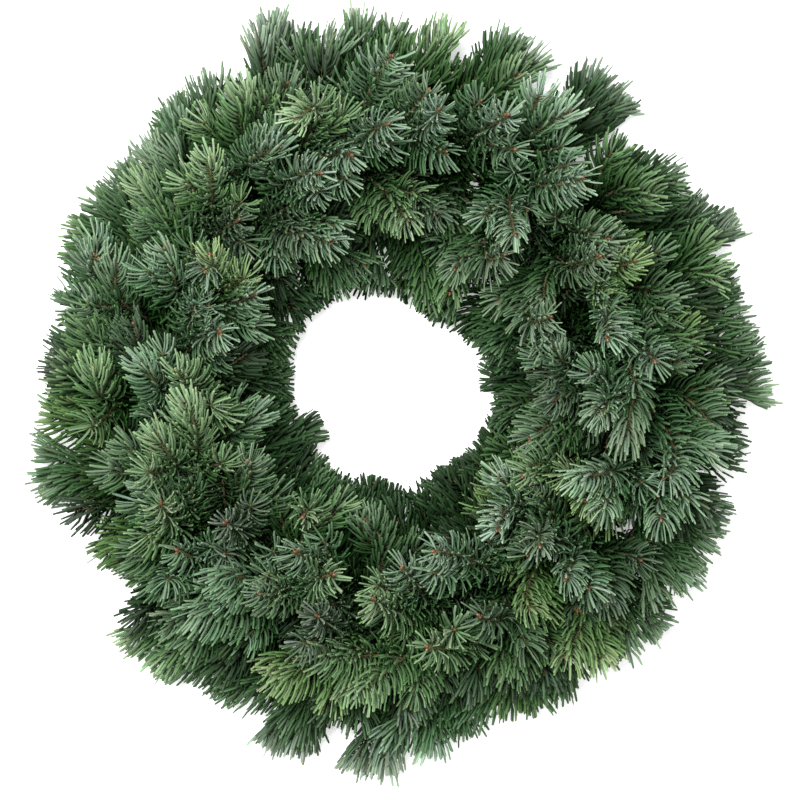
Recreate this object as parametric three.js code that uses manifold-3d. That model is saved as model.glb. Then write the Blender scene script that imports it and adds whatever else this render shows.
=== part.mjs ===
// Fresh evergreen wreath of noble fir, lying face up on the surface that it rests on.
// Units are millimetres and +Z is up. The origin is the middle of the bounding box in X and Y,
// at the level of the surface, and +Y is twelve o'clock.
//
// A twelve-inch wire hoop carries clamps. Each clamp is closed round a bunch of three cut
// branches, which overlap the next bunch clockwise: one branch turns in towards the hole, one
// stands up in the crown and one turns out to the rim. A branch forks into two or three shoots,
// and each shoot ends in a cluster of buds and is set all round with flat needles.
import * as THREE from "three";
import { mergeVertices } from "three/addons/utils/BufferGeometryUtils.js";
import Module from "manifold-3d";

// Hoop and clamps
const HOOP_RADIUS = 152.4; // a twelve-inch hoop, to the middle of its wire
const HOOP_WIRE = 3.8; // thickness of the hoop's wire, across its flats
const HOOP_SEGMENTS = 36;
const CLAMPS = 18;
const CLAMP_WIRE = 2.4;
const CLAMP_INSIDE = { width: 15.6, height: 4.8 }; // room for three stems side by side
const WELD = 0.6; // how far a clamp's bar sinks into the hoop

// Branches
const STEM_PITCH = 5.2; // middle to middle of the stems in a clamp
const STEM_RADIUS = 2.1; // a cut stem, where it is thickest
const STEM_SIDES = 5;
const STEM_BEHIND = 9; // from the clamp back to the cut end
const STEM_AHEAD = 13; // from the clamp on to the fork
const TIPS_AHEAD = 21; // degrees clockwise from a clamp to the middle of its tips

// Shoots
const SHOOT_SIDES = 3;
const SHOOT_RADIUS = { fork: 1.7, tip: 1.25 };
const BUD_RADIUS = 2.3;
const BUD_LENGTH = 4.5;
const NEEDLE_BANDS = 2; // rings of needles along a short shoot
const BAND_PITCH = 14.8; // and how far apart they are along a long one
const NEEDLE_TILT = { first: 62, last: 38 }; // degrees off the shoot's line
const NEEDLE_BASE = 1.9; // how far a needle's foot reaches along the shoot
const NEEDLE_LENGTH = { shortest: 17, longest: 21 };
const NEEDLE_RADIUS = 0.9; // half a needle's width, with a little air round it

// The wreath's cross-section: a mound over the hoop
const CROWN_HEIGHT = 98;
const RIM_HEIGHT = 46;
const BODY_HALF_WIDTH = 86;
const HOLE = { x: -4, y: -1, radius: 50 }; // clear way through, from the hoop's middle
const FLOOR_GAP = 0.7; // the lowest that foliage reaches

// Shoots, placed by eye from a face-on picture of the wreath, in picture units.
const UNIT = 500 / 778; // the wreath is 500 mm from top to bottom, which is 778 picture units
const MIDDLE = { x: 393, y: 388 }; // the hoop's middle in the picture
// Each row: bud x, bud y, heading, rise, comb, lift, length, tone.
//   heading  compass direction in which the shoot points, in degrees clockwise from twelve
//   rise     angle of the shoot above the horizontal, in degrees
//   comb     compass direction to which the needles are swept
//   lift     height of the bud as a share of the mound's height there
//   length   needled length in picture units
//   tone     b glaucous blue, m middle green, d deep green, f fresh green, l lime
const SHOOTS = [
  // twelve to one o'clock
  [357, 20, 352, 5, 20, 0.35, 60, "m"],
  [392, 58, 60, 35, 215, 0.75, 60, "b"],
  [451, 34, 45, 15, 345, 0.6, 75, "f"],
  [428, 94, 30, 40, 280, 0.8, 55, "m"],
  [438, 116, 20, 65, 200, 1.0, 60, "b"],
  [388, 130, 80, 50, 200, 0.95, 60, "b"],
  [408, 222, 140, 40, 225, 0.85, 60, "f"],
  [436, 214, 100, 30, 230, 0.7, 55, "d"],
  [505, 121, 60, 60, 255, 1.0, 60, "b"],
  [538, 60, 80, 10, 10, 0.4, 70, "m"],
  [519, 74, 60, 30, 20, 0.55, 50, "f"],
  [411, 276, 200, 20, 250, 0.4, 50, "d"],
  // one to two o'clock
  [568, 114, 68, 10, 5, 0.85, 65, "b"],
  [629, 101, 86, 0, 8, 0.3, 75, "d"],
  [578, 182, 68, 25, 195, 0.95, 65, "b"],
  [513, 238, 165, 30, 270, 0.95, 65, "b"],
  [503, 257, 60, 20, 225, 0.85, 55, "m"],
  [450, 292, 190, 35, 185, 0.7, 55, "f"],
  [470, 262, 170, 15, 270, 0.6, 60, "m"],
  [648, 193, 112, 15, 25, 0.55, 65, "f"],
  [676, 180, 105, 5, 15, 0.35, 60, "m"],
  // two to three o'clock
  [739, 231, 86, 0, 0, 0.25, 80, "d"],
  [719, 278, 122, 8, 40, 0.5, 75, "f"],
  [630, 263, 60, 50, 40, 0.85, 60, "l"],
  [604, 241, 110, 25, 35, 0.85, 60, "m"],
  [596, 259, 60, 40, 220, 0.85, 55, "m"],
  [548, 318, 65, 20, 250, 0.9, 70, "m"],
  [500, 350, 200, 25, 265, 0.5, 60, "m"],
  [603, 340, 182, 35, 60, 0.95, 65, "b"],
  [728, 285, 60, 10, 50, 0.3, 60, "d"],
  [738, 322, 110, 5, 40, 0.35, 60, "m"],
  [672, 300, 120, 20, 40, 0.65, 60, "m"],
  [555, 347, 345, 30, 330, 0.8, 60, "b"],
  // three to four o'clock
  [650, 362, 160, 60, 340, 0.85, 55, "b"],
  [678, 362, 100, 30, 60, 0.6, 55, "m"],
  [690, 335, 95, 20, 30, 0.55, 55, "l"],
  [766, 398, 122, 0, 30, 0.3, 80, "m"],
  [708, 421, 145, 15, 45, 0.6, 65, "m"],
  [730, 443, 140, 0, 75, 0.25, 60, "d"],
  [621, 441, 188, 15, 180, 0.9, 80, "m"],
  [600, 412, 190, 50, 300, 0.95, 60, "b"],
  [552, 400, 250, 45, 200, 0.8, 55, "d"],
  [500, 425, 200, 10, 280, 0.4, 60, "d"],
  [530, 440, 225, 20, 300, 0.8, 60, "m"],
  [522, 475, 225, 25, 325, 0.9, 60, "f"],
  [660, 477, 235, 30, 75, 0.85, 65, "b"],
  // four to five o'clock
  [658, 518, 200, 55, 190, 0.8, 55, "b"],
  [688, 582, 178, 0, 88, 0.35, 90, "m"],
  [571, 476, 262, 20, 200, 1.0, 70, "b"],
  [585, 500, 180, 70, 180, 0.9, 50, "l"],
  [491, 486, 300, 50, 350, 0.65, 50, "l"],
  [495, 528, 195, 30, 320, 0.95, 60, "b"],
  [537, 543, 170, 50, 320, 0.9, 55, "m"],
  [563, 575, 200, 55, 110, 0.9, 55, "b"],
  [577, 610, 180, 60, 120, 0.55, 50, "d"],
  [605, 600, 190, 15, 102, 0.7, 70, "d"],
  [650, 600, 185, 5, 100, 0.5, 70, "m"],
  [566, 655, 210, 20, 110, 0.65, 65, "l"],
  [625, 650, 200, 5, 115, 0.45, 70, "m"],
  // five to six o'clock
  [553, 685, 240, 0, 145, 0.25, 70, "m"],
  [529, 607, 150, 50, 120, 0.75, 50, "l"],
  [512, 672, 205, 10, 130, 0.6, 65, "f"],
  [494, 702, 235, 5, 145, 0.3, 60, "l"],
  [454, 714, 255, 0, 155, 0.25, 80, "b"],
  [464, 690, 260, 50, 160, 0.45, 45, "d"],
  [427, 642, 285, 30, 105, 0.85, 75, "f"],
  [478, 612, 300, 30, 120, 0.8, 60, "m"],
  [434, 549, 275, 30, 105, 0.95, 80, "b"],
  [402, 566, 320, 45, 165, 0.85, 60, "b"],
  [425, 500, 300, 5, 340, 0.3, 65, "d"],
  [462, 470, 240, 5, 330, 0.3, 60, "d"],
  // six to seven o'clock
  [374, 595, 320, 40, 165, 0.9, 60, "f"],
  [365, 519, 305, 20, 30, 0.75, 60, "m"],
  [374, 486, 30, 10, 0, 0.25, 45, "d"],
  [385, 733, 255, 5, 165, 0.4, 65, "b"],
  [352, 766, 222, 0, 170, 0.2, 60, "d"],
  [405, 712, 210, 15, 120, 0.55, 60, "d"],
  [425, 722, 250, 0, 175, 0.25, 60, "m"],
  [364, 688, 228, 15, 130, 0.8, 70, "f"],
  [318, 611, 320, 65, 180, 0.9, 55, "d"],
  [334, 572, 80, 35, 205, 0.85, 60, "f"],
  [297, 550, 300, 50, 200, 0.8, 55, "b"],
  [322, 650, 285, 20, 160, 0.75, 60, "f"],
  [322, 700, 275, 5, 175, 0.4, 65, "m"],
  // seven to eight o'clock
  [274, 672, 278, 10, 180, 0.65, 80, "l"],
  [262, 742, 237, 0, 180, 0.2, 80, "d"],
  [222, 684, 278, 0, 182, 0.3, 80, "m"],
  [219, 573, 272, 15, 200, 0.75, 65, "b"],
  [262, 590, 290, 35, 190, 0.8, 55, "m"],
  [196, 609, 278, 15, 182, 0.7, 80, "b"],
  [168, 620, 275, 10, 182, 0.5, 60, "m"],
  [165, 658, 280, 0, 190, 0.3, 70, "m"],
  [122, 636, 272, 0, 195, 0.3, 65, "f"],
  [304, 515, 215, 40, 55, 0.85, 55, "f"],
  [178, 585, 290, 10, 200, 0.5, 60, "m"],
  // eight to nine o'clock
  [228, 521, 300, 55, 120, 0.85, 55, "d"],
  [110, 532, 285, 5, 215, 0.4, 60, "l"],
  [133, 552, 280, 10, 215, 0.6, 60, "m"],
  [180, 548, 300, 35, 150, 0.75, 55, "b"],
  [318, 478, 60, 15, 45, 0.45, 55, "m"],
  [340, 490, 20, 10, 50, 0.4, 45, "d"],
  [250, 461, 340, 50, 60, 0.85, 55, "m"],
  [150, 480, 310, 50, 270, 0.8, 55, "b"],
  [165, 500, 350, 50, 180, 0.85, 60, "f"],
  [129, 443, 325, 10, 250, 0.7, 60, "m"],
  [39, 449, 302, 0, 215, 0.3, 85, "m"],
  // nine to ten o'clock
  [315, 430, 85, 5, 60, 0.3, 60, "d"],
  [283, 380, 80, 5, 120, 0.3, 60, "d"],
  [262, 412, 50, 25, 70, 0.8, 60, "b"],
  [190, 402, 335, 20, 335, 0.95, 90, "f"],
  [159, 434, 322, 15, 322, 0.9, 90, "f"],
  [61, 383, 322, 5, 240, 0.4, 60, "l"],
  [97, 370, 2, 15, 2, 0.7, 65, "f"],
  [180, 371, 310, 35, 55, 0.9, 60, "f"],
  [146, 364, 325, 20, 290, 0.85, 65, "b"],
  [135, 325, 345, 10, 272, 0.6, 60, "d"],
  [90, 320, 350, 10, 270, 0.6, 65, "f"],
  [72, 330, 350, 0, 275, 0.3, 65, "d"],
  // ten to eleven o'clock
  [86, 255, 355, 5, 275, 0.4, 80, "m"],
  [76, 227, 292, 0, 260, 0.35, 60, "f"],
  [98, 257, 40, 50, 0, 0.75, 55, "b"],
  [119, 266, 5, 25, 5, 0.75, 65, "m"],
  [169, 252, 342, 15, 275, 0.85, 80, "b"],
  [209, 274, 200, 55, 190, 0.9, 55, "b"],
  [214, 258, 340, 45, 350, 0.9, 55, "l"],
  [223, 333, 90, 65, 180, 0.95, 60, "b"],
  [256, 296, 60, 60, 90, 0.9, 60, "b"],
  [291, 330, 95, 10, 190, 0.35, 55, "m"],
  [143, 186, 318, 20, 318, 0.85, 80, "f"],
  [128, 168, 8, 5, 278, 0.5, 85, "m"],
  // eleven to twelve o'clock
  [155, 152, 10, 5, 285, 0.5, 60, "m"],
  [185, 118, 35, 5, 300, 0.45, 80, "b"],
  [215, 85, 30, 5, 305, 0.4, 85, "m"],
  [213, 162, 0, 25, 270, 0.9, 65, "f"],
  [240, 222, 60, 40, 200, 0.7, 55, "d"],
  [249, 92, 20, 15, 295, 0.7, 60, "f"],
  [288, 84, 30, 15, 315, 0.65, 60, "m"],
  [282, 152, 75, 20, 330, 0.85, 65, "b"],
  [322, 178, 95, 40, 265, 0.95, 65, "b"],
  [299, 126, 223, 15, 350, 0.95, 85, "f"],
  [269, 15, 2, 0, 0, 0.25, 65, "d"],
  [344, 46, 80, 5, 345, 0.4, 70, "m"],
  [332, 244, 100, 30, 190, 0.9, 70, "b"],
  [365, 262, 95, 15, 180, 0.5, 55, "m"],
  [303, 238, 110, 45, 190, 0.8, 55, "d"],
  [352, 160, 100, 50, 190, 0.9, 55, "b"],
];

const { Manifold, Mesh } = await loadSolids();

// Colours
const COLOURS = {
  b: "#5f8a78", // glaucous blue
  m: "#4c7552",
  d: "#33543f",
  f: "#6f9a5f",
  l: "#8fb06a",
};
const WIRE_COLOUR = "#3d5a3c"; // green lacquered wire

// Heights that follow from the sizes above
const STEM_HEIGHT = HOOP_WIRE - WELD + CLAMP_WIRE + CLAMP_INSIDE.height / 2;
const DEGREE = Math.PI / 180;
const UP = new THREE.Vector3(0, 0, 1);

async function loadSolids() {
  const wasm = await Module();
  wasm.setup();
  return wasm;
}

// A repeatable run of numbers from 0 to 1
function dice(...seeds) {
  let state = seeds.reduce((mixed, seed) => Math.imul(mixed ^ (seed + 1), 2654435761) >>> 0, 97);
  return () => {
    state = (Math.imul(state, 1664525) + 1013904223) >>> 0;
    return state / 2 ** 32;
  };
}

// A direction: clockwise from twelve o'clock, and above the horizontal
function compass(heading, rise = 0) {
  const level = Math.cos(rise * DEGREE);
  return new THREE.Vector3(
    Math.sin(heading * DEGREE) * level,
    Math.cos(heading * DEGREE) * level,
    Math.sin(rise * DEGREE),
  );
}

function solidOf(geometry) {
  const bare = geometry.clone();
  bare.deleteAttribute("normal");
  bare.deleteAttribute("uv");
  const merged = mergeVertices(bare, 1e-4);
  return new Manifold(new Mesh({
    numProp: 3,
    vertProperties: new Float32Array(merged.attributes.position.array),
    triVerts: new Uint32Array(merged.index.array),
  }));
}

// The outer skin of a solid: a pocket that joining closes off is filled
function filled(solid) {
  return solid.decompose().reduce((best, part) => (part.volume() > best.volume() ? part : best));
}

function meshOf(name, solid, colour, roughness, metalness) {
  const { vertProperties, triVerts } = filled(solid).getMesh();
  const geometry = new THREE.BufferGeometry();
  geometry.setAttribute("position", new THREE.BufferAttribute(new Float32Array(vertProperties), 3));
  geometry.setIndex([...triVerts]);
  geometry.computeVertexNormals();
  const mesh = new THREE.Mesh(geometry, new THREE.MeshStandardMaterial({ color: colour, roughness, metalness }));
  mesh.name = name;
  return mesh;
}

// ---------------------------------------------------------------------------------------------
// Room: what has been placed so far, as rods, so that nothing is put through anything else
// ---------------------------------------------------------------------------------------------

const rods = [];

function rodGap(p1, q1, p2, q2) {
  const d1 = new THREE.Vector3().subVectors(q1, p1);
  const d2 = new THREE.Vector3().subVectors(q2, p2);
  const r = new THREE.Vector3().subVectors(p1, p2);
  const a = d1.dot(d1);
  const e = d2.dot(d2);
  const f = d2.dot(r);
  const c = d1.dot(r);
  const b = d1.dot(d2);
  const spread = a * e - b * b;
  let s = spread > 1e-9 ? THREE.MathUtils.clamp((b * f - c * e) / spread, 0, 1) : 0;
  let t = (b * s + f) / e;
  if (t < 0 || t > 1) {
    t = THREE.MathUtils.clamp(t, 0, 1);
    s = THREE.MathUtils.clamp((b * t - c) / a, 0, 1);
  }
  return r.addScaledVector(d1, s).addScaledVector(d2, -t).length();
}

function hasRoom(from, to, radius, isOwn) {
  const middle = new THREE.Vector3().addVectors(from, to).multiplyScalar(0.5);
  const half = from.distanceTo(to) / 2;
  return rods.every((rod) => {
    if (isOwn && isOwn(rod)) return true;
    const near = half + rod.half + radius + rod.radius;
    if (middle.distanceToSquared(rod.middle) > near * near) return true;
    return rodGap(from, to, rod.from, rod.to) > radius + rod.radius;
  });
}

function placeRod(from, to, radius, owner = {}) {
  const middle = new THREE.Vector3().addVectors(from, to).multiplyScalar(0.5);
  rods.push({ from, to, radius, middle, half: from.distanceTo(to) / 2, ...owner });
}

// ---------------------------------------------------------------------------------------------
// The hoop and its clamps, welded into one piece
// ---------------------------------------------------------------------------------------------

// Places round the hoop, each with its own outward and clockwise directions
const seats = Array.from({ length: CLAMPS }, (_, index) => {
  const angle = (360 / CLAMPS) * index;
  const outward = compass(angle);
  const along = compass(angle + 90);
  const middle = outward.clone().multiplyScalar(HOOP_RADIUS);
  return { angle, outward, along, middle };
});

function clampOutline() {
  const { width, height } = CLAMP_INSIDE;
  const bar = CLAMP_WIRE;
  const outer = new THREE.Shape([
    new THREE.Vector2(-width / 2 - bar, -height / 2 - bar),
    new THREE.Vector2(width / 2 + bar, -height / 2 - bar),
    new THREE.Vector2(width / 2 + bar, height / 2 + bar),
    new THREE.Vector2(-width / 2 - bar, height / 2 + bar),
  ]);
  outer.holes.push(new THREE.Path([
    new THREE.Vector2(-width / 2, -height / 2),
    new THREE.Vector2(-width / 2, height / 2),
    new THREE.Vector2(width / 2, height / 2),
    new THREE.Vector2(width / 2, -height / 2),
  ]));
  return outer;
}

function clampSolid(seat) {
  const geometry = new THREE.ExtrudeGeometry(clampOutline(), { depth: CLAMP_WIRE, bevelEnabled: false });
  geometry.translate(0, 0, -CLAMP_WIRE / 2);
  const turn = new THREE.Matrix4().makeBasis(seat.outward, UP, seat.along);
  geometry.applyMatrix4(turn);
  geometry.translate(seat.middle.x, seat.middle.y, STEM_HEIGHT);
  return solidOf(geometry);
}

function hoopSolid() {
  const sides = 6;
  const corner = HOOP_WIRE / 2 / Math.cos(Math.PI / sides);
  const geometry = new THREE.TorusGeometry(HOOP_RADIUS, corner, sides, HOOP_SEGMENTS);
  geometry.rotateZ(90 * DEGREE);
  geometry.translate(0, 0, HOOP_WIRE / 2);
  return solidOf(geometry);
}

function wireHoop() {
  const solid = seats.reduce((joined, seat) => joined.add(clampSolid(seat)), hoopSolid());
  return meshOf("wire_hoop", solid, WIRE_COLOUR, 0.45, 0.6);
}

function placeHoopRods() {
  seats.forEach((seat, index) => {
    const next = seats[(index + 1) % CLAMPS];
    const half = CLAMP_INSIDE.width / 2 + CLAMP_WIRE / 2;
    const tall = CLAMP_INSIDE.height / 2 + CLAMP_WIRE / 2;
    const corner = (side, rise) => seat.middle.clone()
      .addScaledVector(seat.outward, side * half)
      .setZ(STEM_HEIGHT + rise * tall);
    placeRod(corner(-1, 1), corner(1, 1), CLAMP_WIRE);
    placeRod(corner(-1, -1), corner(-1, 1), CLAMP_WIRE);
    placeRod(corner(1, -1), corner(1, 1), CLAMP_WIRE);
    placeRod(seat.middle.clone().setZ(HOOP_WIRE / 2), next.middle.clone().setZ(HOOP_WIRE / 2), HOOP_WIRE);
  });
}

// ---------------------------------------------------------------------------------------------
// Branches: which shoots grow on which branch, and the line that each shoot follows
// ---------------------------------------------------------------------------------------------

const TIERS = ["inner", "crown", "outer"];

// Height of the mound over a place
function moundHeight(x, y) {
  const across = Math.min(1, Math.abs(Math.hypot(x, y) - HOOP_RADIUS) / BODY_HALF_WIDTH);
  return RIM_HEIGHT + (CROWN_HEIGHT - RIM_HEIGHT) * (1 - across * across);
}

function readShoot([px, py, heading, rise, comb, lift, length, tone], index) {
  const x = (px - MIDDLE.x) * UNIT;
  const y = (MIDDLE.y - py) * UNIT;
  const z = lift * moundHeight(x, y);
  return {
    index,
    bud: new THREE.Vector3(x, y, z),
    direction: compass(heading, rise),
    comb: compass(comb, 20),
    needled: length * UNIT,
    clock: (Math.atan2(x, y) / DEGREE + 360) % 360,
    across: Math.hypot(x, y) - HOOP_RADIUS,
    tone,
  };
}

// Each clamp takes the shoots whose buds lie ahead of it, shared out from the hole to the rim
function shareOut(shoots) {
  const bunches = seats.map(() => []);
  const pitch = 360 / CLAMPS;
  for (const shoot of shoots) {
    const seat = Math.round((shoot.clock - TIPS_AHEAD + 360) / pitch) % CLAMPS;
    bunches[seat].push(shoot);
  }
  return bunches.flatMap((bunch, index) => {
    bunch.sort((one, other) => one.across - other.across);
    return TIERS.map((tier, place) => {
      const first = Math.round((bunch.length * place) / TIERS.length);
      const last = Math.round((bunch.length * (place + 1)) / TIERS.length);
      return { tier, side: place - 1, seat: seats[index], number: index + 1, shoots: bunch.slice(first, last) };
    });
  });
}

function stemLine(branch) {
  const middle = branch.seat.middle.clone()
    .addScaledVector(branch.seat.outward, branch.side * STEM_PITCH)
    .setZ(STEM_HEIGHT);
  return {
    cut: middle.clone().addScaledVector(branch.seat.along, -STEM_BEHIND),
    fork: middle.clone().addScaledVector(branch.seat.along, STEM_AHEAD),
  };
}

// How the shoots of one branch part at the fork
const ROOT_SUNK = 2.5; // how far the first shoot's root runs down inside the stem
const FORK_FAN = [
  { sooner: 0, aside: 0, upward: 0.05 },
  { sooner: 3.2, aside: 0.5, upward: 0.55 },
  { sooner: 6.4, aside: -0.5, upward: 0.6 },
  { sooner: 3.6, aside: -0.6, upward: 0.15 },
  { sooner: 1.6, aside: 0.1, upward: 1.3 },
];

// Ways in which a shoot may bow to pass the others, in millimetres: how far its line bends aside
// and upwards, and how far its bud is raised
const BOWS = [];
for (const raised of [0, 6, -6, 12, -12, 18]) {
  BOWS.push({ aside: 0, upward: 0, raised });
  for (const size of [8, 16, 24, 32]) {
    for (const turn of [0, 60, 120, 180, 240, 300]) {
      const aside = size * Math.cos(turn * DEGREE);
      const upward = size * Math.sin(turn * DEGREE);
      BOWS.push({ aside, upward, raised });
    }
  }
}

function shootCurve(branch, shoot, place, { aside, upward, raised }) {
  const { fork } = stemLine(branch);
  const { along, outward } = branch.seat;
  const fan = FORK_FAN[place % FORK_FAN.length];
  const root = fork.clone().addScaledVector(along, -ROOT_SUNK - fan.sooner);
  const bud = shoot.bud.clone().setZ(Math.max(shoot.bud.z + raised, FLOOR_GAP + 5));
  const reach = root.distanceTo(bud);
  const bow = outward.clone().multiplyScalar(aside).addScaledVector(UP, upward);
  const launch = along.clone()
    .addScaledVector(outward, branch.side * 0.35 + fan.aside)
    .addScaledVector(UP, 0.25 + 0.25 * (1 - Math.abs(branch.side)) + fan.upward)
    .normalize();
  const leave = root.clone().addScaledVector(launch, reach * 0.33).addScaledVector(bow, 0.6);
  const arrive = bud.clone()
    .addScaledVector(shoot.direction, -Math.min(reach * 0.5, shoot.needled))
    .add(bow);
  leave.z = Math.max(leave.z, STEM_HEIGHT);
  arrive.z = Math.max(arrive.z, FLOOR_GAP + 5);
  return new THREE.CubicBezierCurve3(root, leave, arrive, bud);
}

// Where along its line a shoot has plain wood and where it has a ring of needles
function shootStations(curve, needled) {
  const total = curve.getLength();
  const end = total - BUD_LENGTH;
  const bands = Math.max(NEEDLE_BANDS, Math.round(needled / BAND_PITCH));
  const first = Math.max(total - needled, total * 0.25);
  const stations = [{ at: 0 }];
  for (let band = 0; band < bands; band += 1) {
    const share = band / (bands - 1);
    const at = THREE.MathUtils.lerp(first, end - 1 - NEEDLE_BASE, share);
    stations.push({ at, band, tilt: THREE.MathUtils.lerp(NEEDLE_TILT.first, NEEDLE_TILT.last, share) });
    stations.push({ at: at + NEEDLE_BASE });
  }
  stations.push({ at: end });
  for (const station of stations) {
    station.share = station.at / total;
    station.middle = curve.getPointAt(station.share);
    station.forward = curve.getTangentAt(station.share);
  }
  return stations;
}

const SHOOT_ROOM = 2.25; // kept clear round the line of a shoot

function stationsHaveRoom(stations, bud, branch) {
  const points = [...stations.map((station) => station.middle), bud];
  const isOwn = (rod) => rod.branch === branch;
  return points.slice(1).every((point, step) =>
    point.z > FLOOR_GAP + 3 && hasRoom(points[step], point, SHOOT_ROOM, isOwn));
}

function layOut(branches) {
  for (const branch of branches) {
    const { cut, fork } = stemLine(branch);
    placeRod(cut, fork, STEM_RADIUS, { branch });
  }
  for (const branch of branches) {
    for (const [place, shoot] of branch.shoots.entries()) {
      const follow = (bow) => {
        shoot.curve = shootCurve(branch, shoot, place, bow);
        shoot.stations = shootStations(shoot.curve, shoot.needled);
        return stationsHaveRoom(shoot.stations, shoot.curve.v3, branch);
      };
      if (!BOWS.some(follow)) follow(BOWS[0]);
      const points = [...shoot.stations.map((station) => station.middle), shoot.curve.v3];
      points.slice(1).forEach((point, step) => placeRod(points[step], point, SHOOT_ROOM, { branch, shoot }));
    }
  }
}

// ---------------------------------------------------------------------------------------------
// Shoots
// ---------------------------------------------------------------------------------------------

function ringAt(shoot, { middle, forward }, radius, twist) {
  const side = new THREE.Vector3().crossVectors(forward, shoot.level).normalize();
  const level = new THREE.Vector3().crossVectors(forward, side);
  const corners = Array.from({ length: SHOOT_SIDES }, (_, corner) => {
    const angle = (2 * Math.PI * corner) / SHOOT_SIDES + twist;
    return middle.clone()
      .addScaledVector(side, Math.cos(angle) * radius)
      .addScaledVector(level, Math.sin(angle) * radius);
  });
  return { middle, forward, corners };
}

const STEEPEST = 0.35; // least rise of a needle off its facet, as a sine
const TOUCHING = 0.05; // how near its start a needle's edge may meet the skin that it grows from

// Whether the edge between two points passes through a triangle
function pierces([from, to], [a, b, c]) {
  const ray = new THREE.Ray(from, new THREE.Vector3().subVectors(to, from).normalize());
  const hit = ray.intersectTriangle(a, b, c, false, new THREE.Vector3());
  const reach = hit ? hit.distanceTo(from) : 0;
  return reach > TOUCHING && reach < from.distanceTo(to);
}

// The three edges and the three faces of a needle
function spikeOf(facet, tip) {
  return {
    edges: facet.corners.map((corner) => [corner, tip]),
    faces: facet.corners.map((corner, step) => [corner, facet.corners[(step + 1) % 3], tip]),
  };
}

// Whether a needle keeps clear of the shoot's own wood and of the needles that it already has
function staysOutside(spike, facet, wood, spikes) {
  const skin = wood.filter((other) => other !== facet).map((other) => other.corners);
  const faces = [...skin, ...spikes.flatMap((other) => other.faces)];
  if (spike.edges.some((edge) => faces.some((face) => pierces(edge, face)))) return false;
  return !spikes.some((other) => other.edges.some((edge) => spike.faces.some((face) => pierces(edge, face))));
}

// The tip of the needle that stands on a facet, or null where there is no room for one
function needleTip(branch, shoot, facet, fits) {
  const { forward, tilt, turn, random } = facet;
  const skin = new THREE.Triangle(...facet.corners);
  const root = skin.getMidpoint(new THREE.Vector3());
  const normal = skin.getNormal(new THREE.Vector3());
  const { shortest, longest } = NEEDLE_LENGTH;
  for (let attempt = 0; attempt < 14; attempt += 1) {
    const length = shortest + (longest - shortest) * random();
    const lean = tilt + 16 * (random() - 0.5) + (attempt % 5) * 4 - 8;
    const radial = normal.clone().applyAxisAngle(forward, turn + 0.25 * (random() - 0.5));
    const sweep = Math.max(0, 0.4 - 0.05 * attempt);
    const aim = forward.clone().multiplyScalar(Math.cos(lean * DEGREE))
      .addScaledVector(radial, Math.sin(lean * DEGREE))
      .addScaledVector(shoot.comb, sweep)
      .normalize();
    if (aim.dot(normal) < STEEPEST) continue;
    const tip = root.clone().addScaledVector(aim, length);
    if (tip.z < FLOOR_GAP + 0.2) {
      const most = root.z - FLOOR_GAP - 0.3;
      aim.z = -most / length;
      aim.normalize();
      tip.copy(root).addScaledVector(aim, length);
      if (aim.dot(normal) < STEEPEST || tip.z < FLOOR_GAP) continue;
    }
    if (Math.hypot(tip.x - HOLE.x, tip.y - HOLE.y) < HOLE.radius) continue;
    const start = root.clone().lerp(tip, 0.28);
    if (!hasRoom(start, tip, NEEDLE_RADIUS)) continue;
    const isOwnBase = (rod) => rod.shoot === shoot;
    if (!hasRoom(root, start, NEEDLE_RADIUS, isOwnBase) || !fits(tip)) continue;
    placeRod(start, tip, NEEDLE_RADIUS, { branch, shoot });
    placeRod(root, start, NEEDLE_RADIUS, { branch, shoot });
    return tip;
  }
  return null;
}

// How two rings join with the least twist: the corner of the next ring that each corner goes to,
// and the way in which each side is split
function leastTwist(ring, next) {
  const sides = ring.corners.map((_, side) => side);
  const wrap = (side) => side % SHOOT_SIDES;
  const ways = sides.flatMap((shift) => [0, 1].map((split) => {
    const length = sides.reduce((sum, side) => {
      const straight = ring.corners[side].distanceTo(next.corners[wrap(side + shift)]);
      const across = ring.corners[wrap(side + split)].distanceTo(next.corners[wrap(side + shift + 1 - split)]);
      return sum + straight + across;
    }, 0);
    return { shift, split, length };
  }));
  return ways.reduce((best, way) => (way.length < best.length ? way : best));
}

// The facets of a shoot's wood between its rings, two to a side
function woodFacets(shoot, rings, points) {
  const facets = [];
  for (let index = 0; index + 1 < rings.length; index += 1) {
    const ring = rings[index];
    const next = rings[index + 1];
    const { band, tilt } = shoot.stations[index];
    const { shift, split } = band === undefined ? leastTwist(ring, next) : { shift: 0, split: 0 };
    for (let side = 0; side < SHOOT_SIDES; side += 1) {
      const other = (side + 1) % SHOOT_SIDES;
      const near = ring.index[side];
      const far = ring.index[other];
      const nearNext = next.index[(side + shift) % SHOOT_SIDES];
      const farNext = next.index[(other + shift) % SHOOT_SIDES];
      const pair = split
        ? [[near, far, nearNext], [far, farNext, nearNext]]
        : [[near, far, farNext], [near, farNext, nearNext]];
      for (const [half, numbers] of pair.entries()) {
        facets.push({
          numbers,
          corners: numbers.map((number) => points[number]),
          forward: ring.forward,
          bare: band === undefined,
          tilt,
          turn: half ? -0.4 : 0.4,
          random: dice(shoot.index, index, side, 1 - half),
        });
      }
    }
  }
  return facets;
}

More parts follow.
